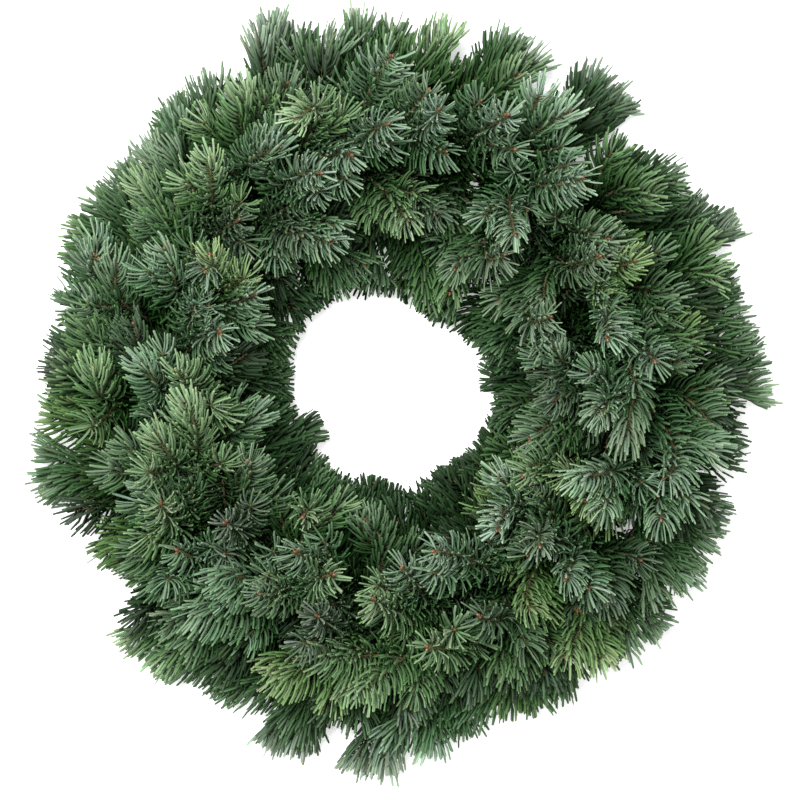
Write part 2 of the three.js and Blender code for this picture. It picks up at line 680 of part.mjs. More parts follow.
function shootSolid(branch, shoot) {
  const points = [];
  const triangles = [];
  const addPoint = (point) => points.push(point) - 1;
  let twist = 2 * Math.PI * dice(shoot.index)();
  const rings = shoot.stations.map((station) => {
    if (station.band > 0) twist += Math.PI / SHOOT_SIDES;
    const radius = THREE.MathUtils.lerp(SHOOT_RADIUS.fork, SHOOT_RADIUS.tip, station.share);
    const ring = ringAt(shoot, station, radius, twist);
    return { ...ring, index: ring.corners.map(addPoint) };
  });
  triangles.push([...rings[0].index].reverse());
  const wood = woodFacets(shoot, rings, points);
  const spikes = [];
  for (const facet of wood) {
    const fits = (tip) => staysOutside(spikeOf(facet, tip), facet, wood, spikes);
    const tip = facet.bare ? null : needleTip(branch, shoot, facet, fits);
    if (!tip) {
      triangles.push(facet.numbers);
      continue;
    }
    const apex = addPoint(tip);
    spikes.push(spikeOf(facet, tip));
    facet.numbers.forEach((number, step) => triangles.push([number, facet.numbers[(step + 1) % 3], apex]));
  }
  addBud(rings.at(-1), shoot, triangles, addPoint);
  const geometry = new THREE.BufferGeometry().setFromPoints(points);
  geometry.setIndex(triangles.flat());
  return solidOf(geometry);
}

// A bud cluster: the shoot swells and closes to a point
function addBud(ring, shoot, triangles, addPoint) {
  const swell = ring.corners.map((corner) => corner.clone()
    .sub(ring.middle)
    .multiplyScalar(BUD_RADIUS / SHOOT_RADIUS.tip)
    .add(ring.middle)
    .addScaledVector(ring.forward, BUD_LENGTH * 0.4));
  const index = swell.map(addPoint);
  const tip = addPoint(ring.middle.clone().addScaledVector(ring.forward, BUD_LENGTH));
  for (let side = 0; side < SHOOT_SIDES; side += 1) {
    const other = (side + 1) % SHOOT_SIDES;
    triangles.push([ring.index[side], ring.index[other], index[other]]);
    triangles.push([ring.index[side], index[other], index[side]]);
    triangles.push([index[side], index[other], tip]);
  }
}

function stemSolid(branch) {
  const { cut, fork } = stemLine(branch);
  const length = cut.distanceTo(fork);
  const geometry = new THREE.CylinderGeometry(STEM_RADIUS, STEM_RADIUS, length, STEM_SIDES, 1);
  const turn = new THREE.Matrix4().makeBasis(branch.seat.outward, branch.seat.along, UP.clone().negate());
  geometry.applyMatrix4(turn);
  const middle = cut.clone().lerp(fork, 0.5);
  geometry.translate(middle.x, middle.y, middle.z);
  return solidOf(geometry);
}

function commonTone(branch) {
  const count = (tone) => branch.shoots.filter((shoot) => shoot.tone === tone).length;
  return Object.keys(COLOURS).reduce((best, tone) => (count(tone) > count(best) ? tone : best));
}

function branchMesh(branch) {
  const name = `branch_${branch.tier}_${String(branch.number).padStart(2, "0")}`;
  let solid = stemSolid(branch);
  for (const shoot of branch.shoots) {
    shoot.level = Math.abs(shoot.direction.z) > 0.8 ? branch.seat.outward : UP;
    solid = solid.add(shootSolid(branch, shoot));
  }
  return meshOf(name, solid, COLOURS[commonTone(branch)], 0.6, 0);
}

const wreath = new THREE.Group();
wreath.name = "fresh_evergreen_wreath";
const branches = shareOut(SHOOTS.map(readShoot));
placeHoopRods();
layOut(branches);
wreath.add(wireHoop());
branches.forEach((branch) => wreath.add(branchMesh(branch)));

const box = new THREE.Box3().setFromObject(wreath);
wreath.position.set(-(box.min.x + box.max.x) / 2, -(box.min.y + box.max.y) / 2, 0);

export default wreath;
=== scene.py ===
"""Fresh evergreen wreath of noble fir, lying face up, seen from straight above.

A twelve-inch wire hoop carries eighteen clamps, each closed on three cut branches. Each branch
forks into shoots, and each shoot ends in a cluster of buds and is set all round with flat,
grooved needles. Lengths below are in millimetres, as on the hoop's own drawing, and turn into
metres only where a mesh is made; the stage is in metres. +Y is twelve o'clock. A pair of values
is the range of a seeded draw, unless a comment says otherwise.
"""
import math
from types import SimpleNamespace

import bmesh
import bpy
import numpy as np
from bpy.props import FloatProperty, FloatVectorProperty, PointerProperty
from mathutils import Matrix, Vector


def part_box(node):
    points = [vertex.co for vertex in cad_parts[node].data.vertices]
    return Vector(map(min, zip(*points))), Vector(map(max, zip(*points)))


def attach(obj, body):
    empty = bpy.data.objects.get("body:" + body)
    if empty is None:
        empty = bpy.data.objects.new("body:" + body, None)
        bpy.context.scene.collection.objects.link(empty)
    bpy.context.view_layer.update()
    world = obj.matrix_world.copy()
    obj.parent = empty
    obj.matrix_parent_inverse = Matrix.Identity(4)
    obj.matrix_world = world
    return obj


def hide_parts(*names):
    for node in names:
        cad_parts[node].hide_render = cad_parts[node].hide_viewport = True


bl_info = {
    "name": "Fresh Evergreen Wreath",
    "version": (1, 0, 0),
    "blender": (4, 5, 0),
    "location": "View3D > Sidebar > Wreath",
    "description": "Dresses a noble fir wreath: hoop, twigs, buds, needles and a plain stage",
    "category": "Object",
}

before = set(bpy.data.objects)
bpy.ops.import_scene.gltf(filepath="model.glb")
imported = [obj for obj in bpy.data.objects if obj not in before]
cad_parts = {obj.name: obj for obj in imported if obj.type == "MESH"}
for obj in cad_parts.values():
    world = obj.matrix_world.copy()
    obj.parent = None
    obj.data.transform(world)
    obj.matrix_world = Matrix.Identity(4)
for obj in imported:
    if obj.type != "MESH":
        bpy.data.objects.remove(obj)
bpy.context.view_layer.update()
MM = 0.001

# Hoop and clamps
HOOP_RADIUS = 152.4
HOOP_WIRE = 3.8
CLAMPS = 18
CLAMP_WIRE = 2.4
CLAMP_INSIDE_WIDTH = 15.6
CLAMP_INSIDE_HEIGHT = 4.8
WELD = 0.6
STEM_HEIGHT = HOOP_WIRE - WELD + CLAMP_WIRE + CLAMP_INSIDE_HEIGHT / 2

# Branches and shoots
STEM_PITCH = 5.2
STEM_RADIUS = 2.1
STEM_BEHIND = 9.0
STEM_AHEAD = 13.0
TIPS_AHEAD = 21.0
BUD_LENGTH = 4.5
NEEDLE_BANDS = 2
BAND_PITCH = 14.8
NEEDLE_BASE = 1.9
CROWN_HEIGHT = 98.0
RIM_HEIGHT = 46.0
BODY_HALF_WIDTH = 86.0
FLOOR_GAP = 0.7
LINE_LOWEST = FLOOR_GAP + 5
POINT_LOWEST = FLOOR_GAP + 3
SHOOT_ROOM = 2.25
ROOT_SUNK = 2.5
BARE_WOOD = 0.25  # least share of a shoot before its first needles
COMB_RISE = 20

# The line of a shoot: how it leaves the fork, and where its two inner corners lie, as shares
LAUNCH_ASIDE = 0.35
LAUNCH_UP = 0.25
LEAVE_AFTER = 0.33
BOW_AT_ROOT = 0.6
ARRIVE_BEFORE = 0.5
TIERS = ("inner", "crown", "outer")

# Needles
HOLE_BY_HOUR = (92, 77, 90, 102, 108, 90, 106, 101, 94, 110, 110, 106)  # radius, picture units
RIM_BY_HOUR = (376, 386, 374, 382, 368, 362, 396, 368, 346, 350, 368, 384)  # the same, outside
RIM_BETWEEN = (378, 372, 364, 360, 350, 362, 384, 382, 372, 362, 358, 394)  # at the half hours
RAGGED = 0.035
SPACING = (0.2, 0.8)
TURN_SPREAD = 0.25
LEAN_OPENS = 0.6
LEAN_SPREAD = 5
FLATTENED = (0.35, 1.0)
COMBED = (0.6, 1.5)
COMBED_BY_LEVEL = (0.35, 1.25)  # on an upright twig, and on a level one
COMB_SPREAD = (0.75, 1.2)
LIFT_SPREAD = (0.4, 1.4)
AIM_SPREAD = 0.045
LENGTH_SPREAD = (0.88, 1.1)
LAST_NEEDLES = (0.72, 0.2)  # share of the full length, and share of the twig that has them
LONGER_AT_RIM = (0.88, 1.04)  # over the hoop, and at the rim
HOOKED = (0.35, 1.7)
HOOK_SPREAD = (0.7, 1.2)
PAST_BUD = 6.5
HOLE_SHORTEST = 0.4
FLOOR_ROOM = 1.2
FLOOR_TOUCH = 0.3

# Blades
BLADE_CORNERS = (0.36, 0.7)  # of the cubic's two inner corners, along the reach
BLADE_FOOT = (0.3, 1.1, 0.3)  # along the twig, off it, and to the needle's aim
BLADE_BEND = (0.25, 0.8)
BLADE_FACE = (0.75, 0.45, 0.2)  # upward, off the twig, and back along it
FACE_SPREAD = 0.22
WIDTH_SPREAD = (0.85, 1.12)
NEEDLE_LEVELS = np.array([0.0, 0.3, 0.65, 0.965])
NEEDLE_PROFILE = np.array([0.55, 0.95, 1.0, 0.8])
PLAIN_LEVELS = np.array([0.0, 0.5, 0.96])
PLAIN_PROFILE = np.array([0.75, 1.25, 1.0])
NEEDLE_COLUMNS = 72
NEEDLE_SIDES = 4
PLAIN_SIDES = 3
PLAIN_COLUMNS = 48

# Light and shade painted into the foliage's tint, and the hue that it takes
SHADED_BELOW = 96.0
LIT_AT_FLOOR = 0.09
LIT_BY_AGE = (1.28, 0.38)  # at the tip of a twig, and at its base
TINT_SPREAD = (0.82, 1.18)
HUE_SPREAD = 0.04
# Places across the ring, from the open middle to the rim, and the values there
DEPTH_ACROSS = ((-1.0, -0.5, 0.1, 0.5, 0.8, 1.0), (0.6, 0.95, 1.0, 0.78, 0.4, 0.1))
LIT_ACROSS = ((-1.0, -0.4, 0.0, 0.4, 0.75, 1.0), (1.04, 0.98, 0.90, 0.86, 1.02, 1.42))
SHADE_HUE = np.array([1.42, 0.97, 1.50])
PLAIN_SHADE = 0.52

# Twigs and buds
TWIG_RINGS = 18
TWIG_SIDES = 6
STEM_SIDES = 14
TWIG_FORK_RADIUS = 1.75
TWIG_TIP_RADIUS = 1.15
TWIG_SWELLS = (0.08, 0.9)  # share of the radius, and radians of a sine for each millimetre
LEAVE_REACH = 0.4
ARRIVE_REACH = 0.35
MAIN_TWIG = (0.85, 0.16)  # thickness, and the share without needles, as in the two below
MAIN_NEEDLES = (0.94, 1.1)
SIDE_TWIG = (0.7, 0.12)
SIDE_NEEDLES = 0.9
SIDE_SHARES = (0.42, 0.62)
SIDE_SHIFT = 0.04
SIDE_LENGTH = (26.0, 40.0)
SIDE_LEAVES = (0.7, 0.65, 0.05)  # ahead, aside and down
SIDE_ENDS = (0.85, 0.5, 0.12)
SIDE_LOWEST = 6.0
SIDE_BUDS = 0.12
LOW_TWIG = (0.8, 0.1)
FILLERS = 6
FILLER_ROOT = (0.55, 0.95)
FILLER_LENGTH = (46.0, 70.0)
FILLER_HEIGHT = (10.0, 46.0)
FILLER_FAN = (-0.9, 0.9, 0.0, -0.45, 0.45, -1.1)
FILLER_TURN = 0.2
FILLER_ALONG = (0.5, 1.1)
FILLER_DROOP = (-0.2, 0.4)
FRINGE_ROOT = 0.8
FRINGE_AHEAD = (15.0, 23.0)
FRINGE_NEAR = (4.0, 12.0)
FRINGE_HEIGHT = (10.0, 26.0)
FRINGE_SHORT = 9.0
BUD_SIDES = 7
BUD_SIZE = (3.9, 1.4)  # length and radius
BUD_SPREAD = (0.85, 1.15)
BUD_LEAN = (0.65, 0.95)
SIDE_BUD_SIZE = 0.8
BARK_TINT = np.array([0.070, 0.066, 0.026])
CUT_TINT = np.array([0.72, 0.55, 0.33])
BUD_TINT = np.array([0.088, 0.038, 0.015])

# Material slots of a branch, and the strip of its map that each kind of shape fills
FINE, BARK, BUD, WITHIN = range(4)
MAP_WITHIN, MAP_FINE, MAP_TWIGS = (0.0, 0.30), (0.30, 0.90), (0.90, 0.97)
MAP_BUDS, MAP_STEM = (0.97, 0.985), (0.985, 1.0)
MAP_MARGIN = 0.04
MAP_CAPS = 0.06

# Hoop
HOOP_STEPS = 216
WIRE_SIDES = 12
CLAMP_STEPS = 48
CLAMP_CORNER = 0.9
WELD_STEPS = 8
WELD_BEAD = (2.3, 1.15, 2.2)  # half its width, height and length
WELD_SUNK = 0.4

# Stage
VIEW_OFFSET = (4.5, -7.7)
VIEW_HEIGHT = 45.0
FLOOR_HALF = 1.6
FLOOR_GLOW = 0.4
KEY_PLACE = (-0.5, 0.45, 2.0)
KEY_SIZE = 1.1
FILL_PLACE = (1.0, -0.6, 1.7)
FILL_SIZE = 1.8
LIT_PLACE = (0, 0, 0.05)
SENSOR = 36

HOOP_BOX = np.array(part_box("wire_hoop")) / MM
HOOP_MIDDLE = np.append(HOOP_BOX.mean(axis=0)[:2], 0.0)

# Shoots, placed from a face-on picture of the wreath, in picture units
UNIT = 500 / 778
MIDDLE_X = 393
MIDDLE_Y = 388
# Each row: bud x, bud y, heading, rise, comb, lift, length, tone.
#   heading  compass direction in which the shoot points, in degrees clockwise from twelve
#   rise     angle of the shoot above the horizontal, in degrees
#   comb     compass direction to which the needles are swept
#   lift     height of the bud as a share of the mound's height there
#   length   needled length in picture units
#   tone     b glaucous blue, m middle green, d deep green, f fresh green, l lime
SHOOTS = [
    # twelve to one o'clock
    (357, 20, 352, 5, 20, 0.35, 60, "m"),
    (392, 58, 60, 35, 215, 0.75, 60, "b"),
    (451, 34, 45, 15, 345, 0.6, 75, "f"),
    (428, 94, 30, 40, 280, 0.8, 55, "m"),
    (438, 116, 20, 65, 200, 1.0, 60, "b"),
    (388, 130, 80, 50, 200, 0.95, 60, "b"),
    (408, 222, 140, 40, 225, 0.85, 60, "f"),
    (436, 214, 100, 30, 230, 0.7, 55, "d"),
    (505, 121, 60, 60, 255, 1.0, 60, "b"),
    (538, 60, 80, 10, 10, 0.4, 70, "m"),
    (519, 74, 60, 30, 20, 0.55, 50, "f"),
    (411, 276, 200, 20, 250, 0.4, 50, "d"),
    # one to two o'clock
    (568, 114, 68, 10, 5, 0.85, 65, "b"),
    (629, 101, 86, 0, 8, 0.3, 75, "d"),
    (578, 182, 68, 25, 195, 0.95, 65, "b"),
    (513, 238, 165, 30, 270, 0.95, 65, "b"),
    (503, 257, 60, 20, 225, 0.85, 55, "m"),
    (450, 292, 190, 35, 185, 0.7, 55, "f"),
    (470, 262, 170, 15, 270, 0.6, 60, "m"),
    (648, 193, 112, 15, 25, 0.55, 65, "f"),
    (676, 180, 105, 5, 15, 0.35, 60, "m"),
    # two to three o'clock
    (739, 231, 86, 0, 0, 0.25, 80, "d"),
    (719, 278, 122, 8, 40, 0.5, 75, "f"),
    (630, 263, 60, 50, 40, 0.85, 60, "l"),
    (604, 241, 110, 25, 35, 0.85, 60, "m"),
    (596, 259, 60, 40, 220, 0.85, 55, "m"),
    (548, 318, 65, 20, 250, 0.9, 70, "m"),
    (500, 350, 200, 25, 265, 0.5, 60, "m"),
    (603, 340, 182, 35, 60, 0.95, 65, "b"),
    (728, 285, 60, 10, 50, 0.3, 60, "d"),
    (738, 322, 110, 5, 40, 0.35, 60, "m"),
    (672, 300, 120, 20, 40, 0.65, 60, "m"),
    (555, 347, 345, 30, 330, 0.8, 60, "b"),
    # three to four o'clock
    (650, 362, 160, 60, 340, 0.85, 55, "b"),
    (678, 362, 100, 30, 60, 0.6, 55, "m"),
    (690, 335, 95, 20, 30, 0.55, 55, "l"),
    (766, 398, 122, 0, 30, 0.3, 80, "m"),
    (708, 421, 145, 15, 45, 0.6, 65, "m"),
    (730, 443, 140, 0, 75, 0.25, 60, "d"),
    (621, 441, 188, 15, 180, 0.9, 80, "m"),
    (600, 412, 190, 50, 300, 0.95, 60, "b"),
    (552, 400, 250, 45, 200, 0.8, 55, "d"),
    (500, 425, 200, 10, 280, 0.4, 60, "d"),
    (530, 440, 225, 20, 300, 0.8, 60, "m"),
    (522, 475, 225, 25, 325, 0.9, 60, "f"),
    (660, 477, 235, 30, 75, 0.85, 65, "b"),
    # four to five o'clock
    (658, 518, 200, 55, 190, 0.8, 55, "b"),
    (688, 582, 178, 0, 88, 0.35, 90, "m"),
    (571, 476, 262, 20, 200, 1.0, 70, "b"),
    (585, 500, 180, 70, 180, 0.9, 50, "l"),
    (491, 486, 300, 50, 350, 0.65, 50, "l"),
    (495, 528, 195, 30, 320, 0.95, 60, "b"),
    (537, 543, 170, 50, 320, 0.9, 55, "m"),
    (563, 575, 200, 55, 110, 0.9, 55, "b"),
    (577, 610, 180, 60, 120, 0.55, 50, "d"),
    (605, 600, 190, 15, 102, 0.7, 70, "d"),
    (650, 600, 185, 5, 100, 0.5, 70, "m"),
    (566, 655, 210, 20, 110, 0.65, 65, "l"),
    (625, 650, 200, 5, 115, 0.45, 70, "m"),
    # five to six o'clock
    (553, 685, 240, 0, 145, 0.25, 70, "m"),
    (529, 607, 150, 50, 120, 0.75, 50, "l"),
    (512, 672, 205, 10, 130, 0.6, 65, "f"),
    (494, 702, 235, 5, 145, 0.3, 60, "l"),
    (454, 714, 255, 0, 155, 0.25, 80, "b"),
    (464, 690, 260, 50, 160, 0.45, 45, "d"),
    (427, 642, 285, 30, 105, 0.85, 75, "f"),
    (478, 612, 300, 30, 120, 0.8, 60, "m"),
    (434, 549, 275, 30, 105, 0.95, 80, "b"),
    (402, 566, 320, 45, 165, 0.85, 60, "b"),
    (425, 500, 300, 5, 340, 0.3, 65, "d"),
    (462, 470, 240, 5, 330, 0.3, 60, "d"),
    # six to seven o'clock
    (374, 595, 320, 40, 165, 0.9, 60, "f"),
    (365, 519, 305, 20, 30, 0.75, 60, "m"),
    (374, 486, 30, 10, 0, 0.25, 45, "d"),
    (385, 733, 255, 5, 165, 0.4, 65, "b"),
    (352, 766, 222, 0, 170, 0.2, 60, "d"),
    (405, 712, 210, 15, 120, 0.55, 60, "d"),
    (425, 722, 250, 0, 175, 0.25, 60, "m"),
    (364, 688, 228, 15, 130, 0.8, 70, "f"),
    (318, 611, 320, 65, 180, 0.9, 55, "d"),
    (334, 572, 80, 35, 205, 0.85, 60, "f"),
    (297, 550, 300, 50, 200, 0.8, 55, "b"),
    (322, 650, 285, 20, 160, 0.75, 60, "f"),
    (322, 700, 275, 5, 175, 0.4, 65, "m"),
    # seven to eight o'clock
    (274, 672, 278, 10, 180, 0.65, 80, "l"),
    (262, 742, 237, 0, 180, 0.2, 80, "d"),
    (222, 684, 278, 0, 182, 0.3, 80, "m"),
    (219, 573, 272, 15, 200, 0.75, 65, "b"),
    (262, 590, 290, 35, 190, 0.8, 55, "m"),
    (196, 609, 278, 15, 182, 0.7, 80, "b"),
    (168, 620, 275, 10, 182, 0.5, 60, "m"),
    (165, 658, 280, 0, 190, 0.3, 70, "m"),
    (122, 636, 272, 0, 195, 0.3, 65, "f"),
    (304, 515, 215, 40, 55, 0.85, 55, "f"),
    (178, 585, 290, 10, 200, 0.5, 60, "m"),
    # eight to nine o'clock
    (228, 521, 300, 55, 120, 0.85, 55, "d"),
    (110, 532, 285, 5, 215, 0.4, 60, "l"),
    (133, 552, 280, 10, 215, 0.6, 60, "m"),
    (180, 548, 300, 35, 150, 0.75, 55, "b"),
    (318, 478, 60, 15, 45, 0.45, 55, "m"),
    (340, 490, 20, 10, 50, 0.4, 45, "d"),
    (250, 461, 340, 50, 60, 0.85, 55, "m"),
    (150, 480, 310, 50, 270, 0.8, 55, "b"),
    (165, 500, 350, 50, 180, 0.85, 60, "f"),
    (129, 443, 325, 10, 250, 0.7, 60, "m"),
    (39, 449, 302, 0, 215, 0.3, 85, "m"),
    # nine to ten o'clock
    (315, 430, 85, 5, 60, 0.3, 60, "d"),
    (283, 380, 80, 5, 120, 0.3, 60, "d"),
    (262, 412, 50, 25, 70, 0.8, 60, "b"),
    (190, 402, 335, 20, 335, 0.95, 90, "f"),
    (159, 434, 322, 15, 322, 0.9, 90, "f"),
    (61, 383, 322, 5, 240, 0.4, 60, "l"),
    (97, 370, 2, 15, 2, 0.7, 65, "f"),
    (180, 371, 310, 35, 55, 0.9, 60, "f"),
    (146, 364, 325, 20, 290, 0.85, 65, "b"),
    (135, 325, 345, 10, 272, 0.6, 60, "d"),
    (90, 320, 350, 10, 270, 0.6, 65, "f"),
    (72, 330, 350, 0, 275, 0.3, 65, "d"),
    # ten to eleven o'clock
    (86, 255, 355, 5, 275, 0.4, 80, "m"),
    (76, 227, 292, 0, 260, 0.35, 60, "f"),
    (98, 257, 40, 50, 0, 0.75, 55, "b"),
    (119, 266, 5, 25, 5, 0.75, 65, "m"),
    (169, 252, 342, 15, 275, 0.85, 80, "b"),
    (209, 274, 200, 55, 190, 0.9, 55, "b"),
    (214, 258, 340, 45, 350, 0.9, 55, "l"),
    (223, 333, 90, 65, 180, 0.95, 60, "b"),
    (256, 296, 60, 60, 90, 0.9, 60, "b"),
    (291, 330, 95, 10, 190, 0.35, 55, "m"),
    (143, 186, 318, 20, 318, 0.85, 80, "f"),
    (128, 168, 8, 5, 278, 0.5, 85, "m"),
    # eleven to twelve o'clock
    (155, 152, 10, 5, 285, 0.5, 60, "m"),
    (185, 118, 35, 5, 300, 0.45, 80, "b"),
    (215, 85, 30, 5, 305, 0.4, 85, "m"),
    (213, 162, 0, 25, 270, 0.9, 65, "f"),
    (240, 222, 60, 40, 200, 0.7, 55, "d"),
    (249, 92, 20, 15, 295, 0.7, 60, "f"),
    (288, 84, 30, 15, 315, 0.65, 60, "m"),
    (282, 152, 75, 20, 330, 0.85, 65, "b"),
    (322, 178, 95, 40, 265, 0.95, 65, "b"),
    (299, 126, 223, 15, 350, 0.95, 85, "f"),
    (269, 15, 2, 0, 0, 0.25, 65, "d"),
    (344, 46, 80, 5, 345, 0.4, 70, "m"),
    (332, 244, 100, 30, 190, 0.9, 70, "b"),
    (365, 262, 95, 15, 180, 0.5, 55, "m"),
    (303, 238, 110, 45, 190, 0.8, 55, "d"),
    (352, 160, 100, 50, 190, 0.9, 55, "b"),
]

# Shoots that show their paler undersides, and shoots in the shade of others, by their buds.
# SHADY_TINT paints that shade into their tint.
PALE = (
    (196, 609), (168, 620), (274, 672), (299, 126), (97, 370), (568, 114), (688, 582), (491, 486),
    (249, 92), (213, 162), (262, 742), (344, 46), (500, 425), (315, 430), (495, 528), (165, 500),
    (61, 383), (39, 449),
)
SHADY = ((512, 672), (135, 325), (577, 610), (209, 274), (322, 700), (288, 84), (478, 612))
PALE_TINT = np.array([1.24, 1.18, 1.24])
SHADY_TINT = np.array([0.80, 0.82, 0.80])
TONES = {
    "b": (0.163, 0.252, 0.150),
    "m": (0.140, 0.211, 0.119),
    "d": (0.114, 0.163, 0.101),
    "f": (0.164, 0.256, 0.122),
    "l": (0.183, 0.272, 0.114),
}

# How the shoots of one branch part at the fork: sooner (mm), aside and upward (shares)
FORK_FAN = ((0, 0, 0.05), (3.2, 0.5, 0.55), (6.4, -0.5, 0.6), (3.6, -0.6, 0.15), (1.6, 0.1, 1.3))
BOW_SIZES = (8, 16, 24, 32)
BOW_TURNS = (0, 60, 120, 180, 240, 300)
BOW_RAISES = (0, 6, -6, 12, -12, 18)

UP = np.array([0.0, 0.0, 1.0])
GOLDEN_TURN = math.pi * (3 - math.sqrt(5))


# ---------------------------------------------------------------------------------------------
# Vectors and curves
# ---------------------------------------------------------------------------------------------


def unit(vectors):
    """Each vector divided by its length."""
    return vectors / np.maximum(np.linalg.norm(vectors, axis=-1, keepdims=True), 1e-12)


def mixed(low, high, share):
    """The value that lies at a share of the way from low to high."""
    return low + (high - low) * share


def compass(heading, rise=0.0):
    """(sin h cos r, cos h cos r, sin r): h clockwise from twelve, r above the horizontal."""
    h, r = np.radians(heading), np.radians(rise)
    return np.array([np.sin(h) * np.cos(r), np.cos(h) * np.cos(r), np.sin(r)])


class Curve:
    """A cubic with four corners, read by its own length."""

    def __init__(self, *corners):
        self.corners = np.array(corners, float)
        self.steps = np.linspace(0.0, 1.0, 201)
        stretches = np.linalg.norm(np.diff(self.points(self.steps), axis=0), axis=1)
        self.lengths = np.concatenate([[0.0], np.cumsum(stretches)])
        self.total = self.lengths[-1]

    def points(self, t):
        """Corners weighted by (1-t)^3, 3t(1-t)^2, 3t^2(1-t) and t^3."""
        t = np.asarray(t)[..., None]
        a, b, c, d = self.corners
        return a * (1 - t) ** 3 + b * 3 * t * (1 - t) ** 2 + c * 3 * t * t * (1 - t) + d * t**3

    def at(self, distance):
        """Points at distances along the curve, and the unit directions there."""
        t = np.interp(distance, self.lengths, self.steps)
        s = t[..., None]
        a, b, c, d = self.corners
        slope = (b - a) * (1 - s) ** 2 + (c - b) * 2 * s * (1 - s) + (d - c) * s * s
        return self.points(t), unit(slope)

    def frames(self, directions):
        """Two unit vectors across each direction: the curve's own normal, and the third way."""
        ends = self.at(np.array([0.0, 0.5, 1.0]) * self.total)[1]
        normal = np.cross(ends[0], ends[2])
        if np.linalg.norm(normal) < 0.2:
            normal = np.cross(ends[1], UP)
        if np.linalg.norm(normal) < 0.2:
            normal = np.array([1.0, 0.0, 0.0])
        wide = unit(normal - (directions @ normal)[:, None] * directions)
        return wide, np.cross(directions, wide)


# ---------------------------------------------------------------------------------------------
# Layout: which shoots grow on which branch, and the line that each follows
# ---------------------------------------------------------------------------------------------


class Rods:
    """What has been placed so far, as straight rods that have a radius and an owner."""

    def __init__(self):
        self.start, self.end = np.empty((0, 3)), np.empty((0, 3))
        self.radius, self.owner = np.empty(0), np.empty(0, int)

    def add(self, points, radius, owner=-1):
        """One rod for each stretch of a line of points."""
        count = len(points) - 1
        self.start = np.concatenate([self.start, points[:-1]])
        self.end = np.concatenate([self.end, points[1:]])
        self.radius = np.concatenate([self.radius, np.full(count, radius)])
        self.owner = np.concatenate([self.owner, np.full(count, owner)])

    def clear_of(self, points, radius, owner):
        """Whether a line keeps its radius free of every rod that another branch owns.

        The least distance between two stretches: the nearest points of their two lines, each
        held between its ends.
        """
        others = self.owner != owner
        first = (points[1:] - points[:-1])[:, None]
        second = (self.end - self.start)[None, others]
        gap = points[:-1, None] - self.start[None, others]
        a, e = (first**2).sum(-1), (second**2).sum(-1)
        b, c, f = (first * second).sum(-1), (first * gap).sum(-1), (second * gap).sum(-1)
        spread = a * e - b * b
        s = np.where(spread > 1e-9, np.clip((b * f - c * e) / np.maximum(spread, 1e-9), 0, 1), 0)
        t = (b * s + f) / e
        held = np.clip(t, 0, 1)
        s = np.where(t == held, s, np.clip((b * held - c) / a, 0, 1))
        apart = np.linalg.norm(gap + first * s[..., None] - second * held[..., None], axis=-1)
        return bool((apart > radius + self.radius[others]).all())


class Seat:
    """A place on the hoop that holds one clamp."""

    def __init__(self, index):
        angle = 360 / CLAMPS * index
        self.outward, self.along = compass(angle), compass(angle + 90)
        self.middle = HOOP_RADIUS * self.outward


class Shoot:
    """One row of SHOOTS, in millimetres from the hoop's middle."""

    def __init__(self, row):
        px, py, heading, rise, comb, lift, length, tone = row
        x, y = (px - MIDDLE_X) * UNIT, (MIDDLE_Y - py) * UNIT
        self.across = math.hypot(x, y) - HOOP_RADIUS
        share = min(1.0, abs(self.across) / BODY_HALF_WIDTH)
        mound = RIM_HEIGHT + (CROWN_HEIGHT - RIM_HEIGHT) * (1 - share * share)
        self.bud = np.array([x, y, lift * mound])
        self.direction = compass(heading, rise)
        self.comb = compass(comb, COMB_RISE)
        self.needled = length * UNIT
        self.clock = math.degrees(math.atan2(x, y)) % 360
        self.tone = tone
        self.cast = np.ones(3)
        if (px, py) in PALE:
            self.cast = PALE_TINT
        elif (px, py) in SHADY:
            self.cast = SHADY_TINT


class Branch:
    """The shoots that one clamp holds in one of its three tiers, from the hole to the rim."""

    def __init__(self, owner, seat, number, place, shoots):
        self.owner, self.seat, self.number = owner, seat, number
        self.tier, self.side, self.shoots = TIERS[place], place - 1, shoots
        middle = seat.middle + seat.outward * self.side * STEM_PITCH + UP * STEM_HEIGHT
        self.cut = middle - seat.along * STEM_BEHIND
        self.fork = middle + seat.along * STEM_AHEAD
        tones = [shoot.tone for shoot in shoots]
        self.tone = max(TONES, key=tones.count)

    @property
    def node(self):
        return f"branch_{self.tier}_{self.number:02d}"

    def curve(self, shoot, place, aside, upward, raised):
        """From inside the stem out along the clamp's own line, and in behind the bud."""
        outward, along = self.seat.outward, self.seat.along
        sooner, fan_aside, fan_upward = FORK_FAN[place % len(FORK_FAN)]
        root = self.fork - along * (ROOT_SUNK + sooner)
        bud = shoot.bud.copy()
        bud[2] = max(bud[2] + raised, LINE_LOWEST)
        reach = np.linalg.norm(root - bud)
        bow = outward * aside + UP * upward
        launch = along + outward * (self.side * LAUNCH_ASIDE + fan_aside)
        raise_by = LAUNCH_UP + LAUNCH_UP * (1 - abs(self.side)) + fan_upward
        launch = unit(launch + UP * raise_by)
        leave = root + launch * reach * LEAVE_AFTER + bow * BOW_AT_ROOT
        arrive = bud - shoot.direction * min(reach * ARRIVE_BEFORE, shoot.needled) + bow
        leave[2] = max(leave[2], STEM_HEIGHT)
        arrive[2] = max(arrive[2], LINE_LOWEST)
        return Curve(root, leave, arrive, bud)


def round_half_up(value):
    """The nearest whole number, and the upper one of two that are as near."""
    return math.floor(value + 0.5)


def clamp_behind(shoot):
    """The number of the clamp that holds a shoot: its tips lie a fixed angle ahead of it."""
    return round_half_up((shoot.clock - TIPS_AHEAD + 360) / (360 / CLAMPS)) % CLAMPS


